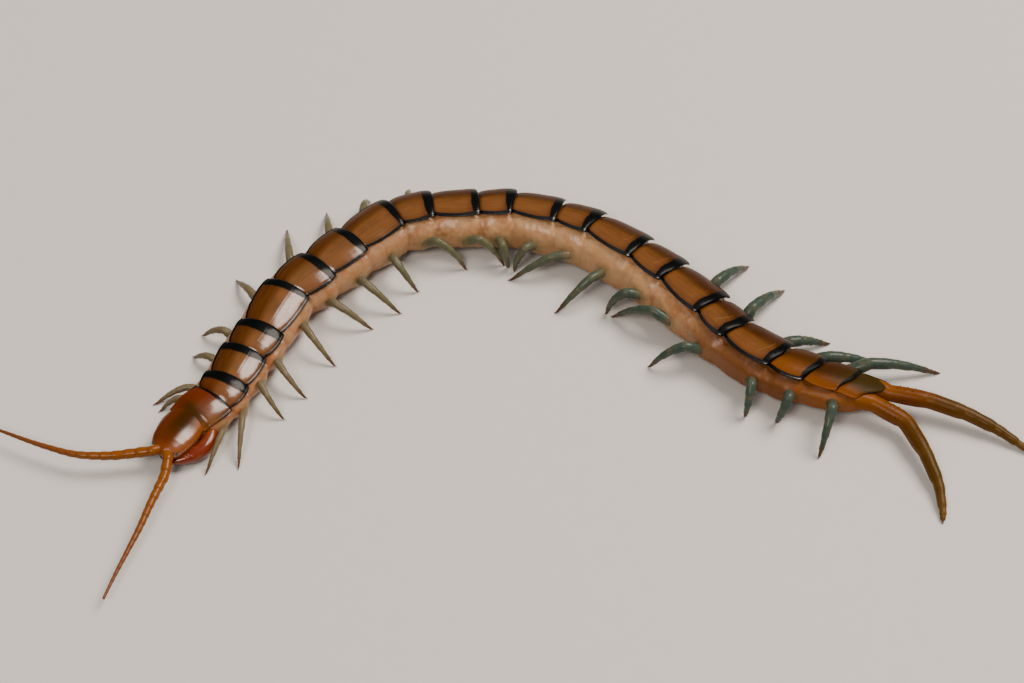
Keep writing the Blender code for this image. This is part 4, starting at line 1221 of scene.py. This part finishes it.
fang_cuticle = finish("fang_cuticle", fang_paint, coat=0.5, coat_rough=0.14, gloss=0.2)
for side in (1, -1):
    path, radii = fang_path(side)
    share = np.linspace(0, 1, len(path))
    for ring in FANG_RINGS:
        radii = radii * (1 - 0.10 * hump(share, ring, 0.010))
    rows = tube_rows(path, radii, 32, skyward)
    name = "forcipule_" + SIDE_NAMES[side]
    fang = shell(name + "_cuticle", rows, {"share": share[:, None]}, fang_cuticle)
    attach(fang, "root")
    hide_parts(name)

# The feelers: whips of 19 short articles, each a little swollen before its joint. The first six
# are bare and glossy, the rest dulled by short down; they fade from orange to a dull brown.

# each row: length of a stretch, its heading in degrees, the height of its end
LEFT_FEELER = ((2.2, -96, 2.7), (2.0, -106, 2.7), (2.6, -108, 2.6), (3.6, -107, 2.3),
               (3.6, -110, 2.0), (3.6, -110, 1.7), (3.2, -107, 1.6))
RIGHT_FEELER = ((2.6, 182, 2.9), (2.9, 187, 2.9), (4.0, 176, 2.8), (4.3, 161, 2.6),
                (3.2, 157, 2.5), (2.8, 155, 2.4), (2.8, 157, 2.3))
# share of a feeler's length, radius
FEELER_GIRTH = ((0, 0.64), (0.12, 0.66), (0.25, 0.58), (0.4, 0.48), (0.56, 0.39), (0.72, 0.30),
                (0.87, 0.23), (1.0, 0.16))
FEELER_ARTICLES = 19
FEELER_AT = -0.97
FEELER_ORANGE = (0.20, 0.058, 0.003)
FEELER_TIP = (0.145, 0.045, 0.011)
FEELER_JOINT = (0.10, 0.022, 0.002)


def feeler_paint(wire):
    share, bead = wire.mark("share"), wire.mark("bead")
    down = wire.grain(0.12, 2.0)
    colour = wire.mix(share.rise(0.15, 1.0), FEELER_ORANGE, FEELER_TIP)
    colour = wire.mix(bead.rise(0.10, 0.0) * 0.55, colour, FEELER_JOINT)
    dull = share.rise(0.28, 0.40)
    return colour, 0.22 + 0.22 * dull, down * dull * 0.02


feeler_cuticle = finish("feeler_cuticle", feeler_paint, coat=0.25, coat_rough=0.20, gloss=0.1)
for side, stretch in ((1, LEFT_FEELER), (-1, RIGHT_FEELER)):
    tail, left, up = along(tail_at, FEELER_AT), along(left_at, FEELER_AT), along(up_at, FEELER_AT)
    facing = left * side * 0.75 - tail
    facing /= np.linalg.norm(facing)
    socket = along(line_at, FEELER_AT) + left * side + up * 0.65 - tail * 0.15
    corners = [socket - facing * 0.9, socket, socket + facing * 0.3]
    for length, heading, height in stretch:
        end = corners[-1] + flat(heading) * length
        end[2] = height
        corners.append(end)
    rough_path = curve_through(corners, 40)
    way = travelled(rough_path)
    count = np.linspace(0, FEELER_ARTICLES, FEELER_ARTICLES * 12 + 1)
    share = count / FEELER_ARTICLES * (1 + 0.35 * (1 - count / FEELER_ARTICLES))
    path = np.stack([np.interp(share * way[-1], way, rough_path[:, i]) for i in range(3)], 1)
    bead = count % 1.0
    swell = 0.95 + 0.10 * smooth(bead, 0.0, 0.6) - 0.15 * smooth(bead, 0.80, 1.0)
    radii = ramp(FEELER_GIRTH, share) * swell
    marks = {"share": share[:, None], "bead": np.minimum(bead, 1 - bead)[:, None]}
    name = "antenna_" + SIDE_NAMES[side]
    feeler = shell(name + "_cuticle", tube_rows(path, radii, 24, skyward), marks, feeler_cuticle)
    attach(feeler, "root")
    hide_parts(name)
